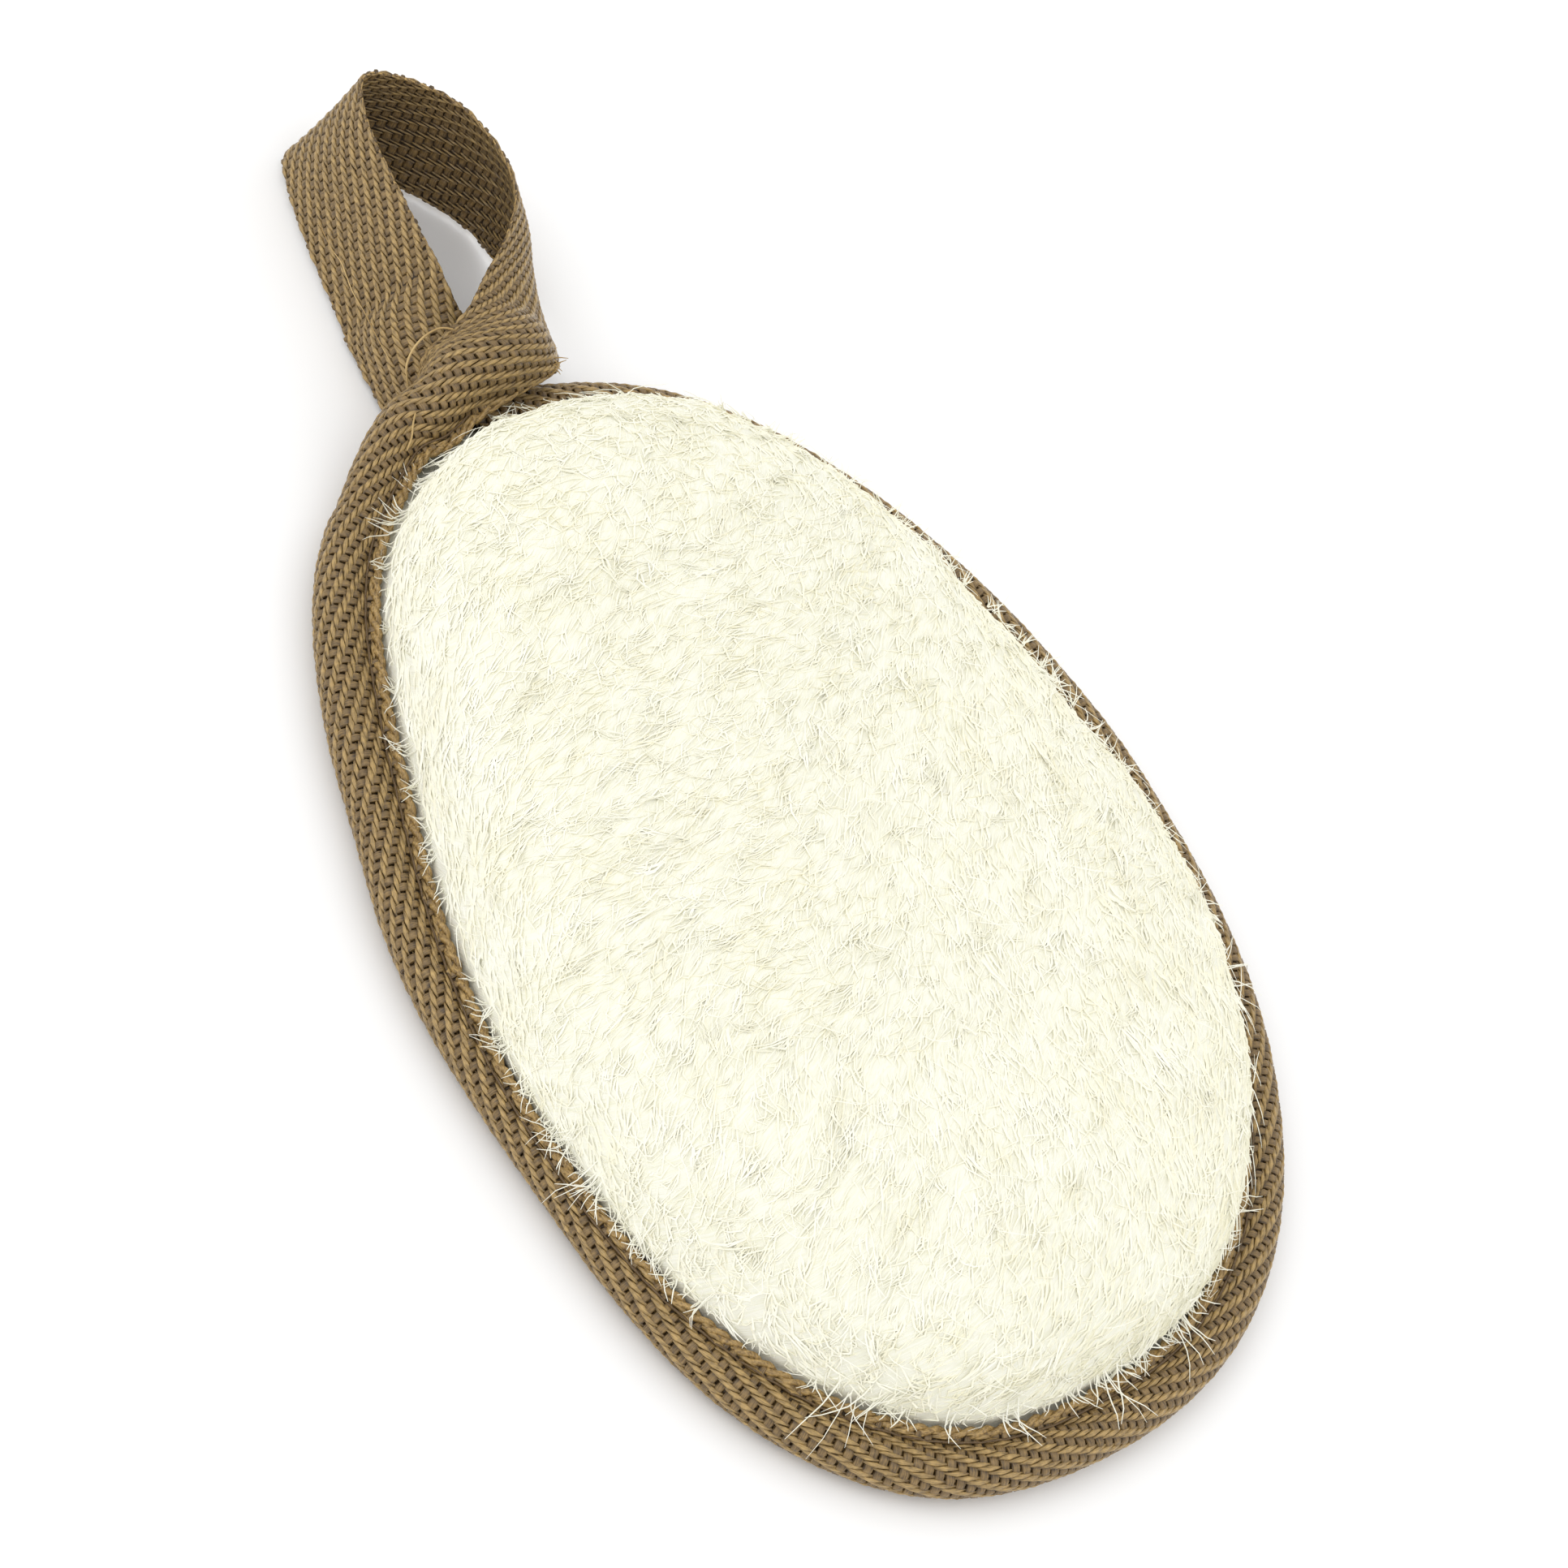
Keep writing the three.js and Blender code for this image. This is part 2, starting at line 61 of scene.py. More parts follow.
def addCamera():
    turn, height, roll = (math.radians(view[key]) for key in ("turn", "height", "roll"))
    back = Vector((math.sin(turn) * math.cos(height), -math.cos(turn) * math.cos(height), math.sin(height)))
    right = Vector((math.cos(turn), math.sin(turn), 0))
    up = back.cross(right)
    across = right * math.cos(roll) + up * math.sin(roll)
    above = up * math.cos(roll) - right * math.sin(roll)
    place = (back * view["distance"] + across * view["sideways"] + above * view["upwards"]) * mm
    data = bpy.data.cameras.new("camera")
    data.lens = view["lens"]
    data.sensor_width = 36
    data.sensor_fit = "HORIZONTAL"
    data.clip_start, data.clip_end = 0.01, 20
    camera = bpy.data.objects.new("camera", data)
    bpy.context.scene.collection.objects.link(camera)
    turned = Matrix((across, above, back)).transposed().to_4x4()
    camera.matrix_world = Matrix.Translation(place) @ turned
    bpy.context.scene.camera = camera


addCamera()
print("camera placed")


# ---- shared shape helpers ----
def noise(x, y):
    # smooth random value from -1 to 1 that changes from one unit cell to the next
    def corner(i, j):
        v = np.sin(i * 127.1 + j * 311.7) * 43758.5453
        return 2 * (v - np.floor(v)) - 1

    i, j = np.floor(x), np.floor(y)
    u, v = [t * t * (3 - 2 * t) for t in (x - i, y - j)]
    low = corner(i, j) * (1 - u) + corner(i + 1, j) * u
    high = corner(i, j + 1) * (1 - u) + corner(i + 1, j + 1) * u
    return low * (1 - v) + high * v


def unit(vectors):
    return vectors / np.linalg.norm(vectors, axis=-1, keepdims=True)


def smoothStep(x, low, high):
    t = np.clip((x - low) / (high - low), 0, 1)
    return t * t * (3 - 2 * t)


rim = {
    "halfLength": 76.5, "halfWidth": 51.2, "squareness": 2.39, "height": 3.7,
    "wobble": [(1, -0.12, 0.30), (3, -0.88, -1.25), (4, 0.88, -0.30), (5, -0.39, -0.68)],
}
# how far the tape is pulled outwards and down over the rim, by the angle in degrees
tapeSlides = [
    (-180, 0), (-135, 0.1), (-120, 0.6), (-105, 1.3), (-92, 2.3), (-80, 3.6), (-70, 4.1), (-55, 4.1),
    (-45, 3.4), (-36, 2.0), (-25, 0.9), (0, 0.7), (30, 0.8), (60, 0.6), (100, 0.3), (150, 0), (180, 0),
]


def tapeSlide(angle):
    degrees = np.degrees(angle)
    return np.interp(degrees - 360 * np.round(degrees / 360), *zip(*tapeSlides))


def rimPoint(angle):
    # points of the rim line and the directions out of it, for an array of angles in radians
    def at(a):
        c = np.abs(np.cos(a) / rim["halfLength"]) ** rim["squareness"]
        s = np.abs(np.sin(a) / rim["halfWidth"]) ** rim["squareness"]
        radius = (c + s) ** (-1 / rim["squareness"])
        for n, p, q in rim["wobble"]:
            radius = radius + p * np.cos(n * a) + q * np.sin(n * a)
        return np.stack([radius * np.cos(a), radius * np.sin(a), 0 * a], axis=-1)

    angle = np.asarray(angle, dtype=float)
    along = unit(at(angle + 0.02) - at(angle - 0.02))
    return at(angle), np.stack([along[..., 1], -along[..., 0], 0 * angle], axis=-1)


def finishMesh(bm, name):
    mesh = bpy.data.meshes.new(name)
    bm.to_mesh(mesh)
    bm.free()
    return mesh


def insetRing(angle, distance, toMiddle, height, follow):
    # the rim line set inwards at a height; follow says how much of the tape's slide it takes
    point, out = rimPoint(angle)
    ring = (point - out * (distance + follow * tapeSlide(angle))[:, None]) * (1 - toMiddle)
    ring[:, 2] = height
    return ring


def ringBody(rings):
    # closed body: a face over the first ring, walls from ring to ring, a face over the last
    bm = bmesh.new()
    bmesh.ops.create_circle(bm, cap_ends=True, segments=len(rings[0]), radius=mm)
    verts, edges = list(bm.verts), list(bm.edges)
    for index, ring in enumerate(rings):
        if index > 0:
            made = bmesh.ops.extrude_edge_only(bm, edges=edges)["geom"]
            edges = [g for g in made if isinstance(g, bmesh.types.BMEdge) and g.is_boundary]
            verts = [g for g in made if isinstance(g, bmesh.types.BMVert)]
        for vert, point in zip(verts, ring):
            vert.co = Vector(point * mm)
    bmesh.ops.edgeloop_fill(bm, edges=edges)
    bmesh.ops.recalc_face_normals(bm, faces=bm.faces[:])
    return bm


def addPiece(name, mesh, finish, node=None, smooth=True):
    # an object of the finished mesh that rides on the part's one body
    mesh.name = name
    mesh.materials.clear()
    mesh.materials.append(finish)
    if smooth:
        mesh.shade_smooth()
    else:
        mesh.shade_flat()  # three-sided fibres go grey when their shading is smoothed
    piece = bpy.data.objects.new(name, mesh)
    bpy.context.scene.collection.objects.link(piece)
    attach(piece, "root")
    if node:
        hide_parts(node)
    return piece


def evaluatedMesh(helper):
    # what a helper object's modifiers or bevel make, as a mesh of its own
    bpy.context.scene.collection.objects.link(helper)
    bpy.context.view_layer.update()
    depsgraph = bpy.context.evaluated_depsgraph_get()
    mesh = bpy.data.meshes.new_from_object(helper.evaluated_get(depsgraph), depsgraph=depsgraph)
    bpy.data.objects.remove(helper)
    return mesh


def strandMesh(paths, radii, sides=3):
    # thin tubes with closed ends, one along each path; paths in millimetres
    profile = bpy.data.curves.new("strandProfile", "CURVE")
    ring = profile.splines.new("POLY")
    ring.points.add(sides - 1)
    for i, point in enumerate(ring.points):
        turn = -2 * math.pi * i / sides  # this way round, the tubes' faces point outwards
        point.co = (math.cos(turn) * mm, math.sin(turn) * mm, 0, 1)
    ring.use_cyclic_u = True
    profileObject = bpy.data.objects.new("strandProfile", profile)
    bpy.context.scene.collection.objects.link(profileObject)
    data = bpy.data.curves.new("strands", "CURVE")
    data.dimensions = "3D"
    data.bevel_mode = "OBJECT"
    data.bevel_object = profileObject
    data.use_fill_caps = True
    for path, radius in zip(paths, radii):
        spline = data.splines.new("POLY")
        spline.points.add(len(path) - 1)
        flat = np.ones((len(path), 4))
        flat[:, :3] = np.asarray(path) * mm
        spline.points.foreach_set("co", flat.ravel())
        spline.points.foreach_set("radius", np.asarray(radius, dtype=float))
    mesh = evaluatedMesh(bpy.data.objects.new("strands", data))
    bpy.data.objects.remove(profileObject)
    return mesh


# ---- finishes ----
def newFinish(name):
    finish = bpy.data.materials.new(name)
    finish.use_nodes = True
    nodes, links = finish.node_tree.nodes, finish.node_tree.links
    return finish, nodes, links, nodes["Principled BSDF"]


def newNoise(nodes, scale, detail=2, roughness=0.5, distortion=0):
    texture = nodes.new("ShaderNodeTexNoise")
    texture.inputs["Scale"].default_value = scale
    texture.inputs["Detail"].default_value = detail
    texture.inputs["Roughness"].default_value = roughness
    texture.inputs["Distortion"].default_value = distortion
    return texture


def newRamp(nodes, low, high, lowColour, highColour):
    ramp = nodes.new("ShaderNodeValToRGB")
    first, last = ramp.color_ramp.elements
    first.position, last.position = low, high
    first.color, last.color = lowColour, highColour
    return ramp


def newBump(nodes, strength, distance):
    bump = nodes.new("ShaderNodeBump")
    bump.inputs["Strength"].default_value = strength
    bump.inputs["Distance"].default_value = distance * mm
    return bump


def setSurface(links, shader, colour, bump, height, roughness, specular):
    # ties colour and relief to the shader and sets its shine
    links.new(colour, shader.inputs["Base Color"])
    links.new(height, bump.inputs["Height"])
    links.new(bump.outputs["Normal"], shader.inputs["Normal"])
    shader.inputs["Roughness"].default_value = roughness
    shader.inputs["Specular IOR Level"].default_value = specular


def fibreFinish(name, light, deep, bumpHeight):
    # pale dry plant fibre: whiter and creamier patches, fine streaks
    finish, nodes, links, shader = newFinish(name)
    place = nodes.new("ShaderNodeTexCoord")
    patches = newNoise(nodes, 130, detail=3)
    streaks = newNoise(nodes, 900)
    ramp = newRamp(nodes, 0.32, 0.62, deep, light)
    links.new(place.outputs["Object"], patches.inputs["Vector"])
    links.new(place.outputs["Object"], streaks.inputs["Vector"])
    links.new(patches.outputs["Fac"], ramp.inputs["Fac"])
    bump = newBump(nodes, 0.4, bumpHeight)
    setSurface(links, shader, ramp.outputs["Color"], bump, streaks.outputs["Fac"], 0.75, 0.15)
    return finish


def combFinish(name, light, deep):
    # the packed fibres below: streaks along the combing, from the bed's UV map in millimetres
    finish, nodes, links, shader = newFinish(name)
    place = nodes.new("ShaderNodeUVMap")
    place.uv_map = "combPlace"
    stretch = nodes.new("ShaderNodeMapping")
    stretch.inputs["Scale"].default_value = (0.45, 3.6, 1)
    streaks = newNoise(nodes, 1, detail=5, distortion=1.3)
    ramp = newRamp(nodes, 0.36, 0.6, deep, light)
    links.new(place.outputs["UV"], stretch.inputs["Vector"])
    links.new(stretch.outputs["Vector"], streaks.inputs["Vector"])
    links.new(streaks.outputs["Fac"], ramp.inputs["Fac"])
    bump = newBump(nodes, 0.4, 0.3)
    setSurface(links, shader, ramp.outputs["Color"], bump, streaks.outputs["Fac"], 0.7, 0.2)
    return finish


def yarnFinish(name, light, dark, stripes, rough):
    # spun yarn: fine filaments along the yarn, from the UV map in millimetres along and across; lighter
    # where the yarn rises and darker where it dives, as painted light and painted shade
    finish, nodes, links, shader = newFinish(name)
    along = nodes.new("ShaderNodeUVMap")
    along.uv_map = "tapePlace"
    stretch = nodes.new("ShaderNodeMapping")
    stretch.inputs["Scale"].default_value = (*stripes, 1)
    filaments = newNoise(nodes, 1)
    patches = newNoise(nodes, 1.1, detail=6, roughness=0.65)
    both = nodes.new("ShaderNodeMix")
    both.inputs["Factor"].default_value = 0.5
    paintedLight = nodes.new("ShaderNodeAttribute")
    paintedLight.attribute_name = "paintedLight"
    lit = nodes.new("ShaderNodeMath")  # the pattern plus a share of painted light from the yarn's rise
    lit.operation = "MULTIPLY_ADD"
    lit.inputs[1].default_value = 0.24
    ramp = newRamp(nodes, 0.5, 0.81, dark, light)
    links.new(along.outputs["UV"], stretch.inputs["Vector"])
    links.new(stretch.outputs["Vector"], filaments.inputs["Vector"])
    links.new(along.outputs["UV"], patches.inputs["Vector"])
    links.new(filaments.outputs["Fac"], both.inputs["A"])
    links.new(patches.outputs["Fac"], both.inputs["B"])
    links.new(paintedLight.outputs["Fac"], lit.inputs[0])
    links.new(both.outputs["Result"], lit.inputs[2])
    links.new(lit.outputs["Value"], ramp.inputs["Fac"])
    bump = newBump(nodes, 1, 0.11)
    setSurface(links, shader, ramp.outputs["Color"], bump, filaments.outputs["Fac"], rough, 0.55)
    return finish


def terryFinish(name, light, deep):
    # looped cotton pile: rounded loops about a millimetre apart, darker between them as painted shade
    finish, nodes, links, shader = newFinish(name)
    place = nodes.new("ShaderNodeTexCoord")
    waver = newNoise(nodes, 500)
    blend = nodes.new("ShaderNodeMix")  # for vectors, its sockets are inputs 4 and 5 and output 1
    blend.data_type = "VECTOR"
    blend.inputs["Factor"].default_value = 0.003
    loops = nodes.new("ShaderNodeTexVoronoi")
    loops.inputs["Scale"].default_value = 950
    ramp = newRamp(nodes, 0.25, 0.8, light, deep)
    links.new(place.outputs["Object"], waver.inputs["Vector"])
    links.new(place.outputs["Object"], blend.inputs[4])
    links.new(waver.outputs["Color"], blend.inputs[5])
    links.new(blend.outputs[1], loops.inputs["Vector"])
    links.new(loops.outputs["Distance"], ramp.inputs["Fac"])
    bump = newBump(nodes, 0.9, 0.35)
    bump.invert = True
    setSurface(links, shader, ramp.outputs["Color"], bump, loops.outputs["Distance"], 0.85, 0.15)
    return finish


# the underlay and the bedding are a little darker and creamier than the top fibres: painted shade of the
# deeper layers
fibrePale = fibreFinish("loofahFibrePale", paint(250, 249, 237), paint(247, 245, 229), 0.03)
fibreUnder = fibreFinish("loofahFibreUnder", paint(249, 247, 232), paint(246, 243, 223), 0.03)
fibreBedding = combFinish("loofahBedding", paint(244, 243, 231), paint(237, 236, 216))
warpYarn = yarnFinish("tapeWarpYarn", paint(187, 156, 99), paint(75, 56, 30), (0.9, 9), 0.33)
weftYarn = yarnFinish("tapeWeftYarn", paint(147, 119, 73), paint(58, 43, 23), (8, 0.7), 0.36)
edgeYarn = yarnFinish("tapeEdgeYarn", paint(200, 166, 104), paint(96, 72, 36), (2.5, 6), 0.36)
# the ground's dark brown, with no painted light, is painted shade for the gaps between the yarns
paintedShadeGround = yarnFinish("tapeGroundPaintedShade", paint(66, 50, 30), paint(46, 34, 20), (1, 1), 0.8)
stitchThread = yarnFinish("seamStitchThread", paint(118, 93, 56), paint(78, 59, 34), (3, 3), 0.5)
looseYarn = fibreFinish("tapeLooseYarn", paint(206, 178, 126), paint(158, 128, 80), 0.05)
terryCotton = terryFinish("backTerryCotton", paint(240, 234, 216), paint(210, 201, 178))
print("finishes made")

# ---- loofah bed: the dome that the fibres grow from ----
bed = {
    "edge": 1.9, "flangeLow": 2.75, "flangeHigh": 5.7, "under": 1.45, "tuft": 0.4, "segments": 176,
    "face": [(5.0, 6.6), (5.1, 9.2), (5.6, 12.4), (6.6, 15.6), (8.2, 18.4), (10.6, 20.9), (14, 23.1),
             (19, 25.0), (25, 26.4)],
    "middle": 27.6, "fill": 0.8, "sunk": 0.45, "combTurn": 2.3,
    # the far side lies lower and further in, and the face gives way to the tape's crossing
    "farAt": 118, "farWide": 42, "farSunk": 1.2, "farIn": 1.3,
    "crossingAt": 188, "crossingWide": 17, "crossingIn": 0.9,
}


def combAngle(x, y):
    # direction that the fibres are combed in, in the plane of the pad; the tips point to the near side
    lean = 2.21 + 0.33 * smoothStep(x, 5, 45) + 0.28 * np.sin(y / 17 + x / 40)
    return lean + math.pi + 0.34 * noise(x / 11 + 3, y / 11) + 0.2 * noise(x / 4.5, y / 4.5 + 7)


def tuftHeight(x, y):
    # soft ridges along the combing, in millimetres
    bend = 2.2 * np.sin(x / 15 + 0.6) + 1.8 * np.sin(y / 11 - 1.1)
    c, s = math.cos(bed["combTurn"]), math.sin(bed["combTurn"])
    along, across = x * c + y * s, y * c - x * s + bend
    combed = noise(along / 13, across / 4.2)
    clumps = noise(along / 20 + 40, across / 7 + 9)
    return bed["tuft"] * (combed + 0.6 * clumps + 0.3 * noise(x / 16, y / 16))


def faceHeight(distance):
    places, heights = zip(*bed["face"])
    return np.interp(distance, places, heights)


def facePoints(angle, distance, toMiddle):
    # the combed face at a distance in from the rim line, or further towards the middle; it gives
    # way to the crossing, follows the tape's slide near the rim, and is smooth close to the tape
    point, out = rimPoint(angle)
    last = bed["face"][-1][1]
    if toMiddle > 0:
        height = last + (bed["middle"] - last) * (1 - (1 - toMiddle) ** 2)
        slope = 0.03
    else:
        height = float(faceHeight(distance))
        slope = float(faceHeight(distance + 0.4) - faceHeight(distance - 0.4)) / 0.8
    fromCrossing = ((np.degrees(angle) + 360) % 360 - bed["crossingAt"]) / bed["crossingWide"]
    recess = np.exp(-fromCrossing ** 2) * max(0, bed["crossingIn"] - 0.12 * max(0, height - 10))
    bulge = tapeSlide(angle) * min(1, max(0, (25 - distance) / 20)) ** 1.5
    soft = min(1, max(0, (height - 8) / 4))
    fromFar = (np.degrees(angle) % 360 - bed["farAt"]) / bed["farWide"]
    farSide = soft * np.exp(-fromFar ** 2) * (1 - toMiddle)
    inwards = distance + recess - bulge + bed["farIn"] * farSide
    point = (point - out * inwards[:, None]) * (1 - toMiddle)
    point[:, 2] = height
    normal = out * min(slope, 6)
    normal[:, 2] = 1
    lift = soft * tuftHeight(point[:, 0] + 0.7 * height, point[:, 1] - 0.5 * height)
    lift = lift - soft * bed["sunk"] - bed["farSunk"] * farSide
    return point + unit(normal) * lift[:, None]


def buildBed():
    angle = np.arange(bed["segments"]) * 2 * math.pi / bed["segments"]
    # from the middle of the underside, round the flange under the tape, to the foot of the face
    rings = [insetRing(angle, *ring) for ring in (
        (14.5, 0.5, bed["under"], 0), (14.5, 0, bed["under"], 0), (8.6, 0, bed["under"], 1),
        (5.4, 0, bed["flangeLow"], 1), (bed["edge"], 0, bed["flangeLow"], 0),
        (bed["edge"], 0, bed["flangeHigh"] - 0.3, 0), (5.0, 0, bed["flangeHigh"], -1),
    )]
    for distance in (5.0, 5.1, 5.5, 6.0, 6.6, 7.3, 8.2, 9.4, 10.6, 12.2, 14, 16.4, 19, 22, 25):
        rings.append(facePoints(angle, distance, 0))
    for toMiddle in np.arange(0.05, 0.97, 0.05):
        rings.append(facePoints(angle, 25, toMiddle))
    bm = ringBody(rings)
    # UV in millimetres along and across the combing, for the streaks
    comb = bm.loops.layers.uv.new("combPlace")
    c, s = math.cos(bed["combTurn"]), math.sin(bed["combTurn"])
    for face in bm.faces:
        for corner in face.loops:
            x, y, z = corner.vert.co / mm
            corner[comb].uv = (x * c + y * s, y * c - x * s + 0.8 * z)
    return finishMesh(bm, "loofahBed")


bedMesh = buildBed()
loofahBed = addPiece("loofahBed", bedMesh, fibreBedding, "loofah_pad")
print("loofah bed made")

# ---- loofah fibres ----
fibre = {
    "underlay": 9000, "underLength": (3, 6.5), "underRadius": (0.1, 0.17),
    "clumps": 2900, "perClump": 6, "length": (3.4, 7.6), "spread": (0.5, 1.5), "points": 4,
    "radius": (0.085, 0.155), "lift": (0.02, 0.3), "waver": 0.09, "sideWaver": 0.26,
    # shares of the clumps that point back, and whose tips stand up
    "turnedBack": 0.18, "tipsUp": 0.12,
    # how far single directions differ from the combing, in radians, and where the tangle is
    "lay": 0.24, "tangledLay": 0.5, "tangledFrom": 34, "tangledTo": 58,
    "strays": 1100, "strayLength": (3, 7.5), "strayRadius": 0.05, "strayLay": 1.1, "strayRise": (0.4, 2.0),
    "rootsAbove": 6.9,
}


def surfaceTree():
    # the bed's triangles, to root fibres on and to follow the dome with
    places = [v.co / mm for v in bedMesh.vertices]
    triangles = []
    for face in bedMesh.polygons:
        ring = list(face.vertices)
        first = ring.index(min(ring))
        ring = ring[first:] + ring[:first]
        triangles += [(ring[0], ring[i], ring[i + 1]) for i in range(1, len(ring) - 1)]
    triangles.sort()  # the same order in each run
    return BVHTree.FromPolygons(places, triangles), np.array(places)[np.array(triangles)]


def scatteredRoots(corners, count):
    # points spread evenly over the dome above the tape
    corners = corners[corners[:, :, 2].min(axis=1) > fibre["rootsAbove"]]
    area = np.linalg.norm(np.cross(corners[:, 1] - corners[:, 0], corners[:, 2] - corners[:, 0]), axis=1)
    reach = np.cumsum(area) / area.sum()
    chosen = corners[np.searchsorted(reach, (np.arange(count) + chance.random(count)) / count)]
    u, v = chance.random((2, count))
    flip = u + v > 1
    u[flip], v[flip] = 1 - u[flip], 1 - v[flip]
    first, second, third = chosen[:, 0], chosen[:, 1], chosen[:, 2]
    points = first + u[:, None] * (second - first) + v[:, None] * (third - first)
    return points[chance.permutation(count)]


def walkFace(tree, start, heading, step, steps, curl):
    # follows the dome from a root, and gives the places and the normals there
    place, normal, _, _ = tree.find_nearest(Vector(start))
    places, normals = [place], [normal]
    for _ in range(steps):
        flat = Vector((math.cos(heading), math.sin(heading), 0))
        ahead = (flat - normal * flat.dot(normal)).normalized()
        place, normal, _, _ = tree.find_nearest(place + ahead * step)
        places.append(place)
        normals.append(normal)
        heading += curl
    return np.array(places), np.array(normals)


def layDirection(x, y):
    # a fibre's direction near the combing, and how tangled the face is there, most towards the loop
    tangled = float(smoothStep(-x, fibre["tangledFrom"], fibre["tangledTo"]))
    uneven = fibre["lay"] + fibre["tangledLay"] * tangled
    return float(combAngle(x, y)) + chance.normal(0, uneven), tangled


def growUnderlay(tree, corners):
    # wide flat-lying fibres that cover the bed
    paths, radii = [], []
    for root in scatteredRoots(corners, fibre["underlay"]):
        heading, _ = layDirection(root[0], root[1])
        length = chance.uniform(*fibre["underLength"])
        places, normals = walkFace(tree, root, heading, length / 2, 2, chance.normal(0, 0.6))
        paths.append(places + normals * np.array([-0.1, chance.uniform(0.1, 0.32), -0.02])[:, None])
        radii.append(chance.uniform(*fibre["underRadius"]) * np.array([0.8, 1, 0.3]))
    return paths, radii


def growClumps(tree, corners):
    # tufts of fibres: apart at their roots, close together at their tips
    paths, radii = [], []
    count, points = fibre["clumps"], fibre["points"]
    roots = scatteredRoots(corners, count)
    share = np.linspace(0, 1, points)
    for root in roots:
        heading, tangled = layDirection(root[0], root[1])
        if chance.random() < fibre["turnedBack"]:
            heading += math.pi
        length = chance.uniform(*fibre["length"]) * (1 - 0.25 * tangled)
        places, normals = walkFace(
            tree, root, heading, length / (points - 1), points - 1, chance.normal(0, 0.24 + 0.12 * tangled))
        side = unit(np.cross(normals, np.gradient(places, axis=0)))
        ahead = np.cross(side, normals)
        spread = chance.uniform(*fibre["spread"])
        height = chance.uniform(*fibre["lift"])
        tipRise = 1.0 if chance.random() < fibre["tipsUp"] else 0
        thick = chance.uniform(*fibre["radius"])
        for _ in range(fibre["perClump"]):
            reach = chance.uniform(0.65, 1.12)
            turn, far = chance.uniform(0, 2 * math.pi), spread * math.sqrt(chance.random())
            apart = far * (1 - 0.75 * share)
            guide = [np.interp(share * reach, share, places[:, k]) for k in range(3)]
            path = np.stack(guide, axis=-1)
            if reach > 1:
                path[-1] = path[-1] + (places[-1] - places[-2]) * (reach - 1) * (points - 1)
            path = path + side * (apart * math.cos(turn))[:, None]
            path = path + ahead * (apart * math.sin(turn))[:, None]
            own = height * chance.uniform(0.3, 1.2)
            lift = -0.25 + own * np.sin(share * 2.4) * 1.5 + tipRise * share ** 2
            waver = chance.normal(0, fibre["waver"], points) * (share > 0)
            sideways = chance.normal(0, fibre["sideWaver"], points)
            path = path + normals * (lift + waver)[:, None] + side * sideways[:, None]
            paths.append(path)
            width = thick * chance.uniform(0.7, 1.2)
            radii.append(width * np.array([0.9, 1, 0.85, 0.25]))
    return paths, radii


def growStrays(tree, corners):
    # single thin fibres that curl up out of the lay
    paths, radii = [], []
    share = np.linspace(0, 1, 5)
    for root in scatteredRoots(corners, fibre["strays"]):
        heading = float(combAngle(root[0], root[1])) + chance.normal(0, fibre["strayLay"])
        length = chance.uniform(*fibre["strayLength"])
        places, normals = walkFace(tree, root, heading, length / 4, 4, chance.normal(0, 0.35))
        rise = chance.uniform(*fibre["strayRise"])
        lift = -0.2 + rise * share ** 1.3 * (1.5 - 0.6 * share) + 0.5
        lift[0] = -0.2
        paths.append(places + normals * lift[:, None])
        radii.append(fibre["strayRadius"] * chance.uniform(0.8, 1.5) * np.array([1, 1, 0.9, 0.7, 0.3]))
    return paths, radii


# long wisps that lie over the tape: rim angle in degrees, length, number of fibres
wisps = [
    (-27, 8.5, 6), (-24, 6, 4), (-17, 5, 3), (-11, 6, 4), (1, 8, 4), (12, 7, 4), (29, 6, 3), (60, 9, 7),
    (70, 8, 8), (80, 6, 4), (112, 6, 7), (116, 5, 5), (137, 4, 6), (151, 4, 6), (160, 4, 6), (170, 5, 6),
    (176, 5, 6), (179, 5, 6), (-177, 5, 7), (-174, 5, 8), (-170, 5, 8), (-166, 5, 8), (-161, 5, 8),
    (-155, 5, 8), (-125, 5, 3), (-105, 3, 3), (-86, 4, 3), (-74, 4, 3), (-60, 6, 4), (-43, 6, 4),
]
# short tufts at the tape's edge: all round, and more of them, longer, between the crowded angles
whisker = {
    "tufts": 110, "perTuft": 3, "length": (1.2, 3.4), "radius": (0.065, 0.12), "rootIn": 5.9,
    "rootHeight": (7.8, 11), "crowded": [(-88, -44, 60), (-6, 18, 22), (-135, -105, 20)],
    "crowdedLonger": 1.3, "lean": 0.4, "apart": 0.22, "bend": 0.4, "wispLean": 0.25, "wispApart": 0.2,
}
farEnds = {
    "from": 30, "to": 165, "tufts": 110, "perTuft": 3, "length": (0.9, 2.3), "radius": (0.06, 0.1),
    "distance": (7.4, 10.6), "inset": 1.05, "sunk": 1.85,
}


def overTape(reach):
    # height just above the folded tape at a distance out from the rim line
    radius = 3.8
    foldHeight = np.sqrt(np.maximum(0, radius ** 2 - np.maximum(reach, 0) ** 2))
    return np.where(reach < 0, rim["height"] + radius, rim["height"] + foldHeight)


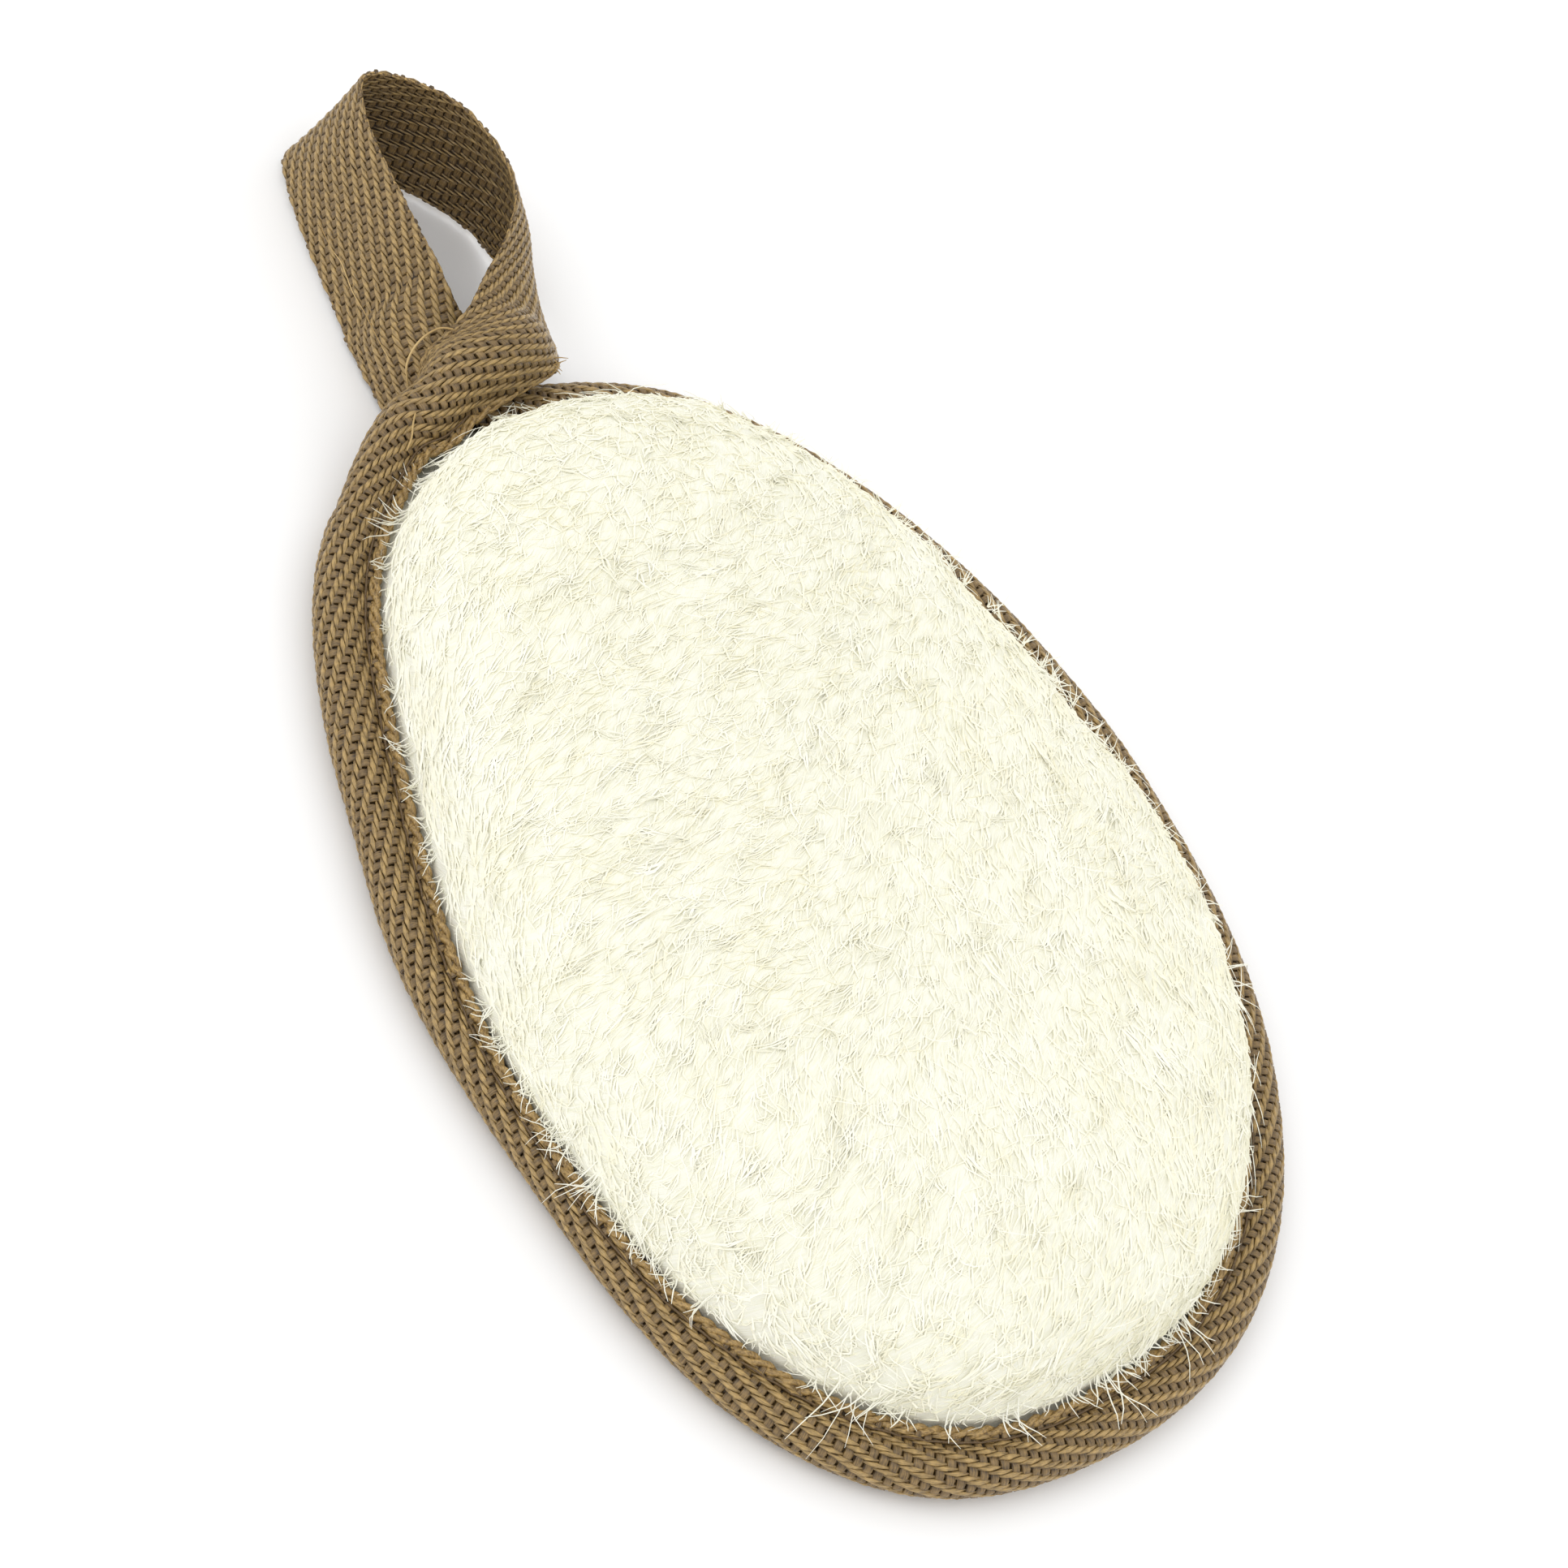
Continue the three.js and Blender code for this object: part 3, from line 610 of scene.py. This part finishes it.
def growWhiskers():
    # tufts and wisps from the foot of the face out over the tape
    paths, radii = [], []

    def grow(angle, length, lean, rise):
        point, out = rimPoint(angle)
        along = np.array([-out[1], out[0], 0])
        rootHeight = chance.uniform(*whisker["rootHeight"])
        share = np.linspace(0, 1, 6)
        bend = chance.normal(0, whisker["bend"])
        sweep = lean * share + bend * share ** 2
        outward = float(tapeSlide(angle)) - whisker["rootIn"] + length * share * np.cos(lean)
        path = point + out * outward[:, None] + along * (length * sweep)[:, None]
        above = overTape(outward) + rise * share ** 1.5
        path[:, 2] = rootHeight + (above - rootHeight) * smoothStep(share, 0, 0.4)
        path[:, 2] = np.maximum(path[:, 2], above)
        path = path + chance.normal(0, 0.06, (6, 3))
        paths.append(path)
        radii.append(chance.uniform(*whisker["radius"]) * np.array([1, 1.1, 1, 0.9, 0.7, 0.3]))

    tufts = [(-180, 180, whisker["tufts"])] + whisker["crowded"]
    angles = np.radians(np.concatenate([chance.uniform(low, high, number) for low, high, number in tufts]))
    for index, angle in enumerate(angles):
        length, lean = chance.uniform(*whisker["length"]), chance.normal(0, whisker["lean"])
        length *= 1 if index < whisker["tufts"] else whisker["crowdedLonger"]
        for _ in range(whisker["perTuft"]):
            grow(angle + chance.normal(0, 0.009), length * chance.uniform(0.6, 1.1),
                 lean + chance.normal(0, whisker["apart"]), chance.uniform(0, 0.7))
    for degrees, length, number in wisps:
        middle = chance.normal(0, whisker["wispLean"])
        for _ in range(number):
            grow(math.radians(degrees + chance.normal(0, 0.9)), length * chance.uniform(0.55, 1.05),
                 middle + chance.normal(0, whisker["wispApart"]), chance.uniform(0.1, 1.1))
    return paths, radii


def growFarEnds():
    # fibre ends that stand up off the face's outer shoulder, along the curved side
    paths, radii = [], []
    share = np.linspace(0, 1, 4)[:, None]
    for degrees in chance.uniform(farEnds["from"], farEnds["to"], farEnds["tufts"]):
        point, out = rimPoint(math.radians(degrees))
        along = np.array([-out[1], out[0], 0])
        distance = chance.uniform(*farEnds["distance"])
        root = point - out * (distance + farEnds["inset"])
        root[2] = faceHeight(distance) - farEnds["sunk"]
        lean = chance.normal(0, 0.5)
        for _ in range(farEnds["perTuft"]):
            outwards, sideways = chance.uniform(0.2, 1.1), lean + chance.normal(0, 0.4)
            way = unit(out * outwards + along * sideways + np.array([0, 0, 0.8]))
            bend = out * chance.normal(0.1, 0.35) + along * chance.normal(0, 0.35)
            length = chance.uniform(*farEnds["length"])
            start = root + along * chance.normal(0, 0.25)
            paths.append(start + (way * share + bend * share ** 2) * length)
            radii.append(chance.uniform(*farEnds["radius"]) * np.array([1, 1, 0.8, 0.35]))
    return paths, radii


def addFibres():
    tree, corners = surfaceTree()
    underlay = strandMesh(*growUnderlay(tree, corners))
    addPiece("loofahFibresUnder", underlay, fibreUnder, smooth=False)
    paths, radii = growClumps(tree, corners)
    # by place along the pad, so that each piece is one patch of the face
    order = np.argsort([path[0][0] for path in paths])
    for name, part in zip(("loofahFibresLoopEnd", "loofahFibresFarEnd"), np.array_split(order, 2)):
        mesh = strandMesh([paths[i] for i in part], [radii[i] for i in part])
        addPiece(name, mesh, fibrePale, smooth=False)
    strayPaths, strayRadii = [], []
    for paths, radii in (growStrays(tree, corners), growFarEnds(), growWhiskers()):
        strayPaths += paths
        strayRadii += radii
    addPiece("loofahStrays", strandMesh(strayPaths, strayRadii), fibrePale, smooth=False)


addFibres()
print("loofah fibres grown")

# ---- woven tape ----
tape = {
    "width": 18, "flap": 4.3, "foldRadius": 3, "startAngle": -173, "endAngle": -518, "angleStep": 3.75,
}
# under edge, upper edge and outer face of the tape beyond the rim, as in the part's source
loopStations = [
    ((-78.4, -18.8, 0.8), (-72.0, -19.8, 8.2), (-0.80, -0.35, 0.50)),
    ((-81.8, -15.6, 4.2), (-72.6, -15.9, 9.2), (-0.62, -0.20, 0.76)),
    ((-86.0, -13.6, 9.6), (-75.4, -10.4, 10.2), (-0.25, -0.10, 0.96)),
    ((-86.8, -11.4, 13.0), (-77.6, -2.9, 10.4), (-0.05, 0.05, 1.0)),
    ((-88.4, -8.0, 15.6), (-79.8, 3.3, 9.6), (0.10, 0.22, 0.96)),
    ((-90.6, -5.4, 16.6), (-84.9, 7.4, 6.2), (0.10, 0.50, 0.84)),
    ((-92.8, -3.0, 17.3), (-91.5, 9.0, 4.8), (0.10, 0.70, 0.68)),
    ((-95.6, 0.4, 17.7), (-97.6, 10.2, 3.6), (0.10, 0.78, 0.60)),
    ((-98.8, 3.4, 17.9), (-101.8, 9.6, 2.6), (0.10, 0.85, 0.50)),
    ((-103.4, 6.6, 18.0), (-105.8, 9.4, 1.2), (0.05, 0.97, 0.25)),
    ((-110.4, 8.0, 18.0), (-110.6, 8.8, 0.7), (-0.15, 1.0, 0.0)),
    ((-119.0, 6.3, 17.9), (-116.6, 5.0, 0.7), (-0.55, 0.85, 0.0)),
    ((-124.4, 1.6, 17.8), (-123.2, -1.2, 0.7), (-0.9, 0.45, 0.0)),
    ((-126.9, -3.2, 17.7), (-128.4, -8.4, 0.7), (-0.98, 0.0, 0.0)),
    ((-125.2, -5.6, 17.7), (-127.6, -11.8, 0.7), (-0.6, -0.8, 0.1)),
    ((-118.2, -7.8, 17.6), (-120.6, -13.8, 0.6), (-0.15, -0.98, 0.2)),
    ((-107.0, -8.3, 17.5), (-110.2, -15.6, 0.6), (-0.02, -0.95, 0.25)),
    ((-97.6, -8.4, 17.0), (-99.6, -16.6, 0.6), (0.02, -0.92, 0.35)),
    ((-90.4, -6.2, 12.2), (-91.6, -17.0, 0.7), (0.03, -0.82, 0.55)),
    ((-82.8, -4.0, 9.4), (-83.0, -17.2, 0.9), (0.05, -0.62, 0.78)),
]
hollows = {13: 1.1, 14: 0.7}
loopFrom = 3  # the loop's own pieces start at this station


def smoothThrough(points, cuts):
    # smooth curve through points, with the same number of cuts between each two
    points = np.asarray(points, dtype=float)
    padded = np.concatenate([points[:1], points, points[-1:]])
    tangent = (padded[2:] - padded[:-2]) / 2
    t = np.linspace(0, 1, cuts, endpoint=False)[None, :, None]
    a, b, m, n = points[:-1, None], points[1:, None], tangent[:-1, None], tangent[1:, None]
    curve = ((2 * t ** 3 - 3 * t ** 2 + 1) * a + (t ** 3 - 2 * t ** 2 + t) * m
             + (3 * t ** 2 - 2 * t ** 3) * b + (t ** 3 - t ** 2) * n)
    return np.concatenate([curve.reshape(-1, points.shape[1]), points[-1:]])


def tapeCourse():
    # the tape's bent cross-section at close steps: crown, directions, bend, hollow and seam
    angle = np.radians(np.arange(tape["startAngle"], tape["endAngle"] - 0.01, -tape["angleStep"]))
    point, out = rimPoint(angle)
    edge = point - out * tape["flap"]
    low, high = (edge + [0, 0, rim["height"] + s * tape["foldRadius"]] for s in (-1, 1))
    seam = len(angle)
    slide = np.concatenate([tapeSlide(angle), np.zeros(len(loopStations))])
    under = np.concatenate([low, [s[0] for s in loopStations]])
    upper = np.concatenate([high, [s[1] for s in loopStations]])
    face = np.concatenate([out, [s[2] for s in loopStations]])
    hollow = np.zeros((len(under), 1))
    for index, depth in hollows.items():
        hollow[seam + index] = depth
    sewn = np.zeros((len(under), 1))
    sewn[:seam + 3] = 1
    cuts = 8
    under, upper, face = (smoothThrough(points, cuts) for points in (under, upper, face))
    steps = np.arange(len(under)) / cuts
    hollow = np.interp(steps, np.arange(len(hollow)), hollow[:, 0])
    sewn = np.interp(steps, np.arange(len(sewn)), sewn[:, 0])
    slide = np.interp(steps, np.arange(len(slide)), slide)

    across = upper - under
    chord = np.minimum(np.linalg.norm(across, axis=1), tape["width"] - 0.02)
    across = unit(across)
    face = unit(face - across * (face * across).sum(axis=1, keepdims=True))
    # the bend of the tape's middle that brings its two edges as far apart as they are
    bendHalf = tape["width"] / 2 - tape["flap"]
    least, most = np.full(len(chord), 0.001), np.full(len(chord), math.pi / 2 / bendHalf)
    for _ in range(40):
        bend = (least + most) / 2
        half = np.sin(bend * bendHalf) / bend + tape["flap"] * np.cos(bend * bendHalf)
        least, most = np.where(2 * half > chord, bend, least), np.where(2 * half > chord, most, bend)
    depth = (1 - np.cos(bend * bendHalf)) / bend + tape["flap"] * np.sin(bend * bendHalf)
    crown = (under + upper) / 2 + face * depth[:, None]
    course = {"crown": crown, "across": across, "face": face, "bend": bend[:, None],
              "hollow": hollow[:, None], "sewn": sewn[:, None], "slide": slide[:, None]}
    lines = [crown, under, upper]
    step = np.mean([np.linalg.norm(np.diff(line, axis=0), axis=1) for line in lines], axis=0)
    course["length"] = np.concatenate([[0], np.cumsum(step)])
    return course, course["length"][(seam + loopFrom) * cuts]


course, loopStart = tapeCourse()
tapeLength = course["length"][-1]


def alongTape(key, s):
    values = course[key]
    return np.stack([np.interp(s, course["length"], values[:, k]) for k in range(values.shape[1])], axis=-1)


def onTape(s, u, h):
    # places in space of a point s along the tape, u across it and h above its middle, in millimetres
    crown, across, face = alongTape("crown", s), unit(alongTape("across", s)), unit(alongTape("face", s))
    bend, hollow, sewn, slide = (alongTape(key, s)[:, 0] for key in ("bend", "hollow", "sewn", "slide"))
    fromSeam = (np.abs(u) - weave["seamAt"]) / weave["seamWide"]
    h = h - sewn * weave["seamDip"] * np.exp(-fromSeam ** 2)
    h = h + weave["uneven"] * noise(s / 13, u / 7 + 20) * (1 - (np.abs(u) / 9.5) ** 2)
    w = u - slide
    v = np.minimum(np.abs(w), tape["width"] / 2 - tape["flap"])
    rest = np.abs(w) - v
    x = np.sign(w) * (np.sin(bend * v) / bend + rest * np.cos(bend * v) + h * np.sin(bend * v))
    dip = hollow * (1 - (2 * u / tape["width"]) ** 2)
    y = (1 - np.cos(bend * v)) / bend + rest * np.sin(bend * v) - h * np.cos(bend * v) + dip
    return crown + across * x[:, None] - face * y[:, None]


# 2/2 twill: warp yarns run along the tape, weft yarns across it
weave = {
    "warpPitch": 0.486, "warps": 36, "weftPitch": 1.25, "warpRise": 0.24, "weftRise": 0.17, "uneven": 0.16,
    "plump": 0.95, "seamAt": 7.4, "seamDip": 0.5, "seamWide": 0.7, "groundHalf": 0.06, "edgeAt": 8.6,
    "edgePitch": 4.4, "edgeRadius": 0.46, "edgeTwist": 0.36, "edgeRise": 0.12, "loopEdge": 0.3,
}
# cross-sections of one yarn, in millimetres; the loop shows both faces, so its yarns are full
flatWarp = [(-0.24, -0.06), (-0.13, 0.2), (0.13, 0.2), (0.24, -0.06)]
roundWarp = [(-0.24, 0), (-0.13, 0.2), (0.13, 0.2), (0.24, 0), (0, -0.2)]
flatWeft = [(-0.62, -0.08), (-0.36, 0.23), (0.36, 0.23), (0.62, -0.08)]
roundWeft = [(-0.62, 0), (-0.38, 0.23), (0.38, 0.23), (0.62, 0), (0.38, -0.23), (-0.38, -0.23)]


def straightBars(section, length, rings, count, gap, lengthwise):
    # closed bars side by side: along x with a step in y, or along y with a step in x
    bm = bmesh.new()
    ring = [bm.verts.new((0, a, b)) for a, b in section]
    bm.faces.new(ring)
    made = bmesh.ops.extrude_face_region(bm, geom=bm.faces[:])["geom"]
    farEnd = [g for g in made if isinstance(g, bmesh.types.BMVert)]
    bmesh.ops.translate(bm, verts=farEnd, vec=(length, 0, 0))
    sideEdges = [e for e in bm.edges if abs(e.verts[0].co.x - e.verts[1].co.x) > length / 2]
    bmesh.ops.subdivide_edges(bm, edges=sideEdges, cuts=rings - 2, use_grid_fill=True)
    bmesh.ops.recalc_face_normals(bm, faces=bm.faces[:])
    if not lengthwise:
        bmesh.ops.rotate(bm, verts=bm.verts[:], matrix=Matrix.Rotation(math.pi / 2, 3, "Z"))
    helper = bpy.data.objects.new("bars", finishMesh(bm, "bars"))
    row = helper.modifiers.new("row", "ARRAY")
    row.count = count
    row.use_relative_offset = False
    row.use_constant_offset = True
    row.constant_offset_displace = (0, gap, 0) if lengthwise else (gap, 0, 0)
    return evaluatedMesh(helper)


def layOnTape(mesh, shape, paintedLight=None):
    # bends straight bars to the tape's course; shape turns x, y, z into s, u, h
    # the finish takes painted light where a yarn is raised and painted shade where it dives; a fixed value
    # gives the whole piece one share of it
    flat = np.empty(len(mesh.vertices) * 3)
    mesh.vertices.foreach_get("co", flat)
    s, u, h = shape(*flat.reshape(-1, 3).T)
    mesh.vertices.foreach_set("co", (onTape(s, u, h) * mm).ravel())
    lift = np.clip(np.abs(h) / 0.45, 0, 1) if paintedLight is None else np.full(len(h), float(paintedLight))
    mesh.attributes.new("paintedLight", "FLOAT", "POINT").data.foreach_set("value", lift)
    layer = mesh.uv_layers.new(name="tapePlace")
    corner = np.empty(len(mesh.loops), dtype=np.int32)
    mesh.loops.foreach_get("vertex_index", corner)
    layer.data.foreach_set("uv", np.stack([s, u], axis=-1)[corner].ravel())
    mesh.flip_normals()  # the tape's course runs clockwise, which turns the bars inside out
    mesh.update()
    return mesh


def overUnder(s, end):
    # +1 where a warp end lies over the wefts, -1 where it lies under them
    return np.sin(2 * math.pi * ((s / weave["weftPitch"] - end) / 4 + 0.125))


def warpPiece(name, section, start, stop):
    pitch, count = weave["warpPitch"], weave["warps"]
    step = weave["weftPitch"] * 2 / 3
    first = math.floor(start / step)
    rings = math.floor(stop / step) - first + 1
    mesh = straightBars(section, (rings - 1) * step, rings, count, pitch, True)

    def shape(x, y, z):
        end = np.round(y / pitch)
        # each end's rings start where they meet the middle of its floats
        s = x + first * step + ((end + 0.5) * weave["weftPitch"]) % step
        over = overUnder(s, end)
        own = 1 + 0.16 * noise(s / 2.3, end * 5.1 + 3)
        wide = (0.62 + weave["plump"] * np.maximum(over, 0)) * own
        u = (end - (count - 1) / 2) * pitch + (y - end * pitch) * wide + 0.05 * noise(s / 9, end * 3.7)
        return np.clip(s, 0, tapeLength), u, z * own + weave["warpRise"] * over

    addPiece(name, layOnTape(mesh, shape), warpYarn, "binding_tape")


def weftPiece(name, section, start, stop):
    pitch = weave["weftPitch"]
    first = math.ceil(start / pitch)
    count = math.floor(stop / pitch) - first + 1
    width = weave["warpPitch"] * (weave["warps"] - 1) + 0.5
    mesh = straightBars(section, width, weave["warps"] + 1, count, pitch, False)

    def shape(x, y, z):
        pick = np.round(x / pitch) + first
        end = y / weave["warpPitch"]
        rise = -weave["weftRise"] * overUnder(pick * pitch, end - 0.25)
        fromMiddle = y / width * 2 - 1
        narrow = (1 - 0.3 * np.abs(fromMiddle) ** 12) * (1 + 0.1 * noise(pick * 3.3, y / 2.1))
        u = (y - width / 2) * (1 + 0.016 * noise(pick * 1.7, np.sign(fromMiddle) * 4.4))
        return (x - np.round(x / pitch) * pitch) * narrow + pick * pitch, u, z + rise

    addPiece(name, layOnTape(mesh, shape), weftYarn, "binding_tape")


def groundPiece():
    # thin layer between the yarns' two faces, so that no light comes through the weave; its dark brown is
    # painted shade for the gaps between the yarns
    half, thin = weave["warpPitch"] * (weave["warps"] - 1) / 2, weave["groundHalf"]
    across = np.array([-half, -7.9, -7.4, -6.9, -6.2, -3.2, 0, 3.2, 6.2, 6.9, 7.4, 7.9, half])
    section = [(a, thin) for a in across] + [(a, -thin) for a in across[::-1]]
    rings = int(tapeLength / 1.6)
    mesh = straightBars(section, tapeLength - 0.4, rings, 1, 1, True)
    layOnTape(mesh, lambda x, y, z: (x + 0.2, y, z), 0)
    addPiece("tapeGround", mesh, paintedShadeGround, "binding_tape")


def edgeCords():
    # two-ply cord along each edge of the tape
    radius, pitch, twist = weave["edgeRadius"], weave["edgePitch"], weave["edgeTwist"]
    section = [(radius * math.cos(a), radius * math.sin(a)) for a in np.arange(5) * 2 * math.pi / 5]
    rings, plies, apart = int(tapeLength / (pitch / 8)), 4, 10
    mesh = straightBars(section, tapeLength - 0.4, rings, plies, apart, True)

    def shape(x, y, z):
        ply = np.round(y / apart)
        side = np.where(ply < 2, 1, -1)
        turn = 2 * math.pi * (x / pitch + ply / 2) + 0.5 * noise(x / 11, ply * 5.3)
        thick = 1 - (1 - weave["loopEdge"]) * smoothStep(x, loopStart - 12, loopStart + 6)
        u = side * weave["edgeAt"] + (y - ply * apart + twist * np.cos(turn)) * thick
        rise = side * weave["edgeRise"]
        return x + 0.2, u, (z + side * twist * np.sin(turn) + rise) * thick

    # the cords take a fixed share of painted light, as for raised yarn
    addPiece("tapeEdgeCords", layOnTape(mesh, shape, 0.6), edgeYarn, "binding_tape")


stitch = {
    "length": 3.4, "radius": 0.17, "height": 0.54, "heightUnder": 0.8, "sunk": 0.4, "from": 4, "to": 8,
}


def seamStitches(name, side, node):
    # lock stitches in the groove beside the cord: a bow on the tape, then down through it
    radius = stitch["radius"]
    section = [(radius * math.cos(a), radius * math.sin(a)) for a in np.arange(6) * math.pi / 3]
    length = loopStart - stitch["from"] - stitch["to"]
    mesh = straightBars(section, length, int(length / (stitch["length"] / 6)), 1, 1, True)

    def shape(x, y, z):
        bow = np.abs(np.sin(math.pi * x / stitch["length"])) ** 0.5
        height = stitch["height" if side > 0 else "heightUnder"] - stitch["sunk"] * (1 - bow)
        return x + stitch["from"], y + side * weave["seamAt"], z + height

    # the stitches take a fixed share of painted light
    addPiece(name, layOnTape(mesh, shape, 0.4), stitchThread, node)


# loose yarns on the crossing and along the loop's lower leg, and where the crossing's corner frays
loose = {
    "threads": [
        ([(-84.5, -15.7, 7.0), (-86.1, -15.7, 8.9), (-87.4, -14.6, 10.4), (-88.2, -12.9, 11.7),
          (-88.2, -11.0, 12.9), (-86.2, -10.7, 15.1)], 0.17),
        ([(-77.2, -19.7, 11.6), (-75.8, -20.6, 11.1), (-74.6, -21.1, 10.2), (-73.4, -22.1, 9.3)], 0.13),
        ([(-113.5, -14.2, 5.0), (-108.5, -14.9, 5.7), (-105.7, -14.9, 6.1), (-101.2, -15.5, 6.0),
          (-97.0, -15.7, 6.4), (-92.2, -16.6, 7.5), (-88.5, -16.5, 7.3)], 0.075),
    ],
    "corner": [
        (-82.6, 2.9, 12.6), (-82.4, 3.8, 11.3), (-81.1, 3.3, 10.9), (-80.1, 2.9, 10.6), (-79.2, 2.0, 10.5),
    ],
    "perPlace": 4, "frayLength": (0.9, 1.9), "frayRadius": 0.1, "outwards": (0.46, 0.82, 0.2),
}


def looseThreads():
    # the threads run over the surface, and short ends stand out at the corner
    paths, radii = [], []
    for places, radius in loose["threads"]:
        path = smoothThrough(places, 4)
        paths.append(path)
        radii.append(radius * (0.75 + 0.25 * np.sin(np.linspace(0, math.pi, len(path)))))
    share = np.linspace(0, 1, 4)[:, None]
    for place in loose["corner"]:
        for _ in range(loose["perPlace"]):
            way = unit(np.array(loose["outwards"]) + chance.normal(0, 0.45, 3))
            bend = chance.normal(0, 0.35, 3)
            length = chance.uniform(*loose["frayLength"])
            start = np.array(place) + chance.normal(0, 0.35, 3) - 0.5 * way
            paths.append(start + (way * share + bend * share ** 2) * length)
            radii.append(loose["frayRadius"] * np.array([1, 1, 0.8, 0.4]))
    addPiece("tapeLooseThreads", strandMesh(paths, radii, 5), looseYarn)


warpPiece("tapeWarpRim", flatWarp, 0, loopStart)
warpPiece("tapeWarpLoop", roundWarp, loopStart, tapeLength)
weftPiece("tapeWeftRim", flatWeft, 0.6, loopStart)
weftPiece("tapeWeftLoop", roundWeft, loopStart, tapeLength - 0.6)
groundPiece()
edgeCords()
seamStitches("seamStitchesTop", 1, "seam_thread_top")
seamStitches("seamStitchesUnder", -1, "seam_thread_under")
looseThreads()
print("woven tape made")

# ---- cloth back ----
back = {
    "edge": 2.2, "thickness": 1.15, "channelLow": 1.5, "pileLow": 0.45, "segments": 96,
    "loopPitch": 2.35, "loopRadius": 0.13, "loopSpan": 0.85, "loopDepth": 0.48, "loopFoot": 0.62,
    "reach": (70, 44), "bare": 9.2, "flat": (0.150, 0.100), "area": 0.0117,
}


def buildBack():
    # from the middle of the underside, round the edge inside the tape, to the middle of the top
    angle = np.arange(back["segments"]) * 2 * math.pi / back["segments"]
    top = back["channelLow"] + back["thickness"] - 0.1
    rings = [insetRing(angle, *ring) for ring in (
        (14.5, 0.5, back["pileLow"], 0), (14.5, 0, back["pileLow"], 0), (8.2, 0, back["pileLow"], 1),
        (5.0, 0, back["channelLow"], 1), (back["edge"], 0, back["channelLow"], 0),
        (back["edge"], 0, top, 0), (5.4, 0, top, 1), (8.8, 0, back["thickness"], 1),
        (14.5, 0.5, back["thickness"], 0),
    )]
    return finishMesh(ringBody(rings), "terryBack")


def terryLoops():
    # short loops of the pile, in slightly uneven rows
    paths, radii = [], []
    pitch = back["loopPitch"]
    halfLength, halfWidth = back["reach"]
    for row in np.arange(-halfWidth, halfWidth + 0.1, pitch):
        for x in np.arange(-halfLength, halfLength + 0.1, pitch):
            px = x + chance.normal(0, 0.3) + (pitch / 2 if round(row / pitch) % 2 else 0)
            py = row + chance.normal(0, 0.3)
            angle = math.atan2(py, px)
            edge = np.linalg.norm(rimPoint(angle)[0]) - back["bare"] - tapeSlide(angle)
            if math.hypot(px, py) > edge:
                continue
            turn, lean = chance.uniform(0, math.pi), chance.normal(0, 0.45)
            swing = np.array([math.cos(turn), math.sin(turn), 0])
            sideways = np.array([-math.sin(turn), math.cos(turn), 0])
            path = []
            for a in np.linspace(-0.3, math.pi + 0.3, 5):
                drop = math.sin(a)
                path.append(np.array([px, py, back["loopFoot"]]) + swing * back["loopSpan"] * math.cos(a)
                            + sideways * lean * drop + np.array([0, 0, -back["loopDepth"] * drop]))
            paths.append(path)
            radii.append([back["loopRadius"]] * 5)
    return strandMesh(paths, radii)


terryBack = addPiece("terryBack", buildBack(), terryCotton, "back_cloth")
terryPile = addPiece("terryPile", terryLoops(), terryCotton, smooth=False)
print("cloth back made")

# ---- floor and light ----
studio = {
    "floor": paint(252, 252, 252), "floorSize": 3, "sky": 1.0,
    # name, place in metres, power in watts, width in metres
    "lights": [("keyLight", (-0.25, -0.75, 1.1), 3.4, 0.9), ("fillLight", (0.8, 0.5, 1.0), 1.5, 1.2)],
}


def addStudio():
    bm = bmesh.new()
    bmesh.ops.create_grid(bm, x_segments=1, y_segments=1, size=studio["floorSize"])
    mesh = finishMesh(bm, "floor")
    finish, _, _, shader = newFinish("studioFloor")
    shader.inputs["Base Color"].default_value = studio["floor"]
    shader.inputs["Roughness"].default_value = 0.9
    mesh.materials.append(finish)
    floor = bpy.data.objects.new("floor", mesh)
    bpy.context.scene.collection.objects.link(floor)
    world = bpy.data.worlds.new("studioSky")
    world.use_nodes = True
    world.node_tree.nodes["Background"].inputs["Color"].default_value = (1, 1, 1, 1)
    world.node_tree.nodes["Background"].inputs["Strength"].default_value = studio["sky"]
    bpy.context.scene.world = world
    for name, place, power, size in studio["lights"]:
        data = bpy.data.lights.new(name, "AREA")
        data.energy, data.size = power, size
        light = bpy.data.objects.new(name, data)
        light.location = place
        light.rotation_euler = Vector(place).to_track_quat("Z", "Y").to_euler()
        bpy.context.scene.collection.objects.link(light)


addStudio()
bpy.context.scene.view_settings.view_transform = "Standard"
bpy.context.scene.view_settings.look = "None"
print("studio set")
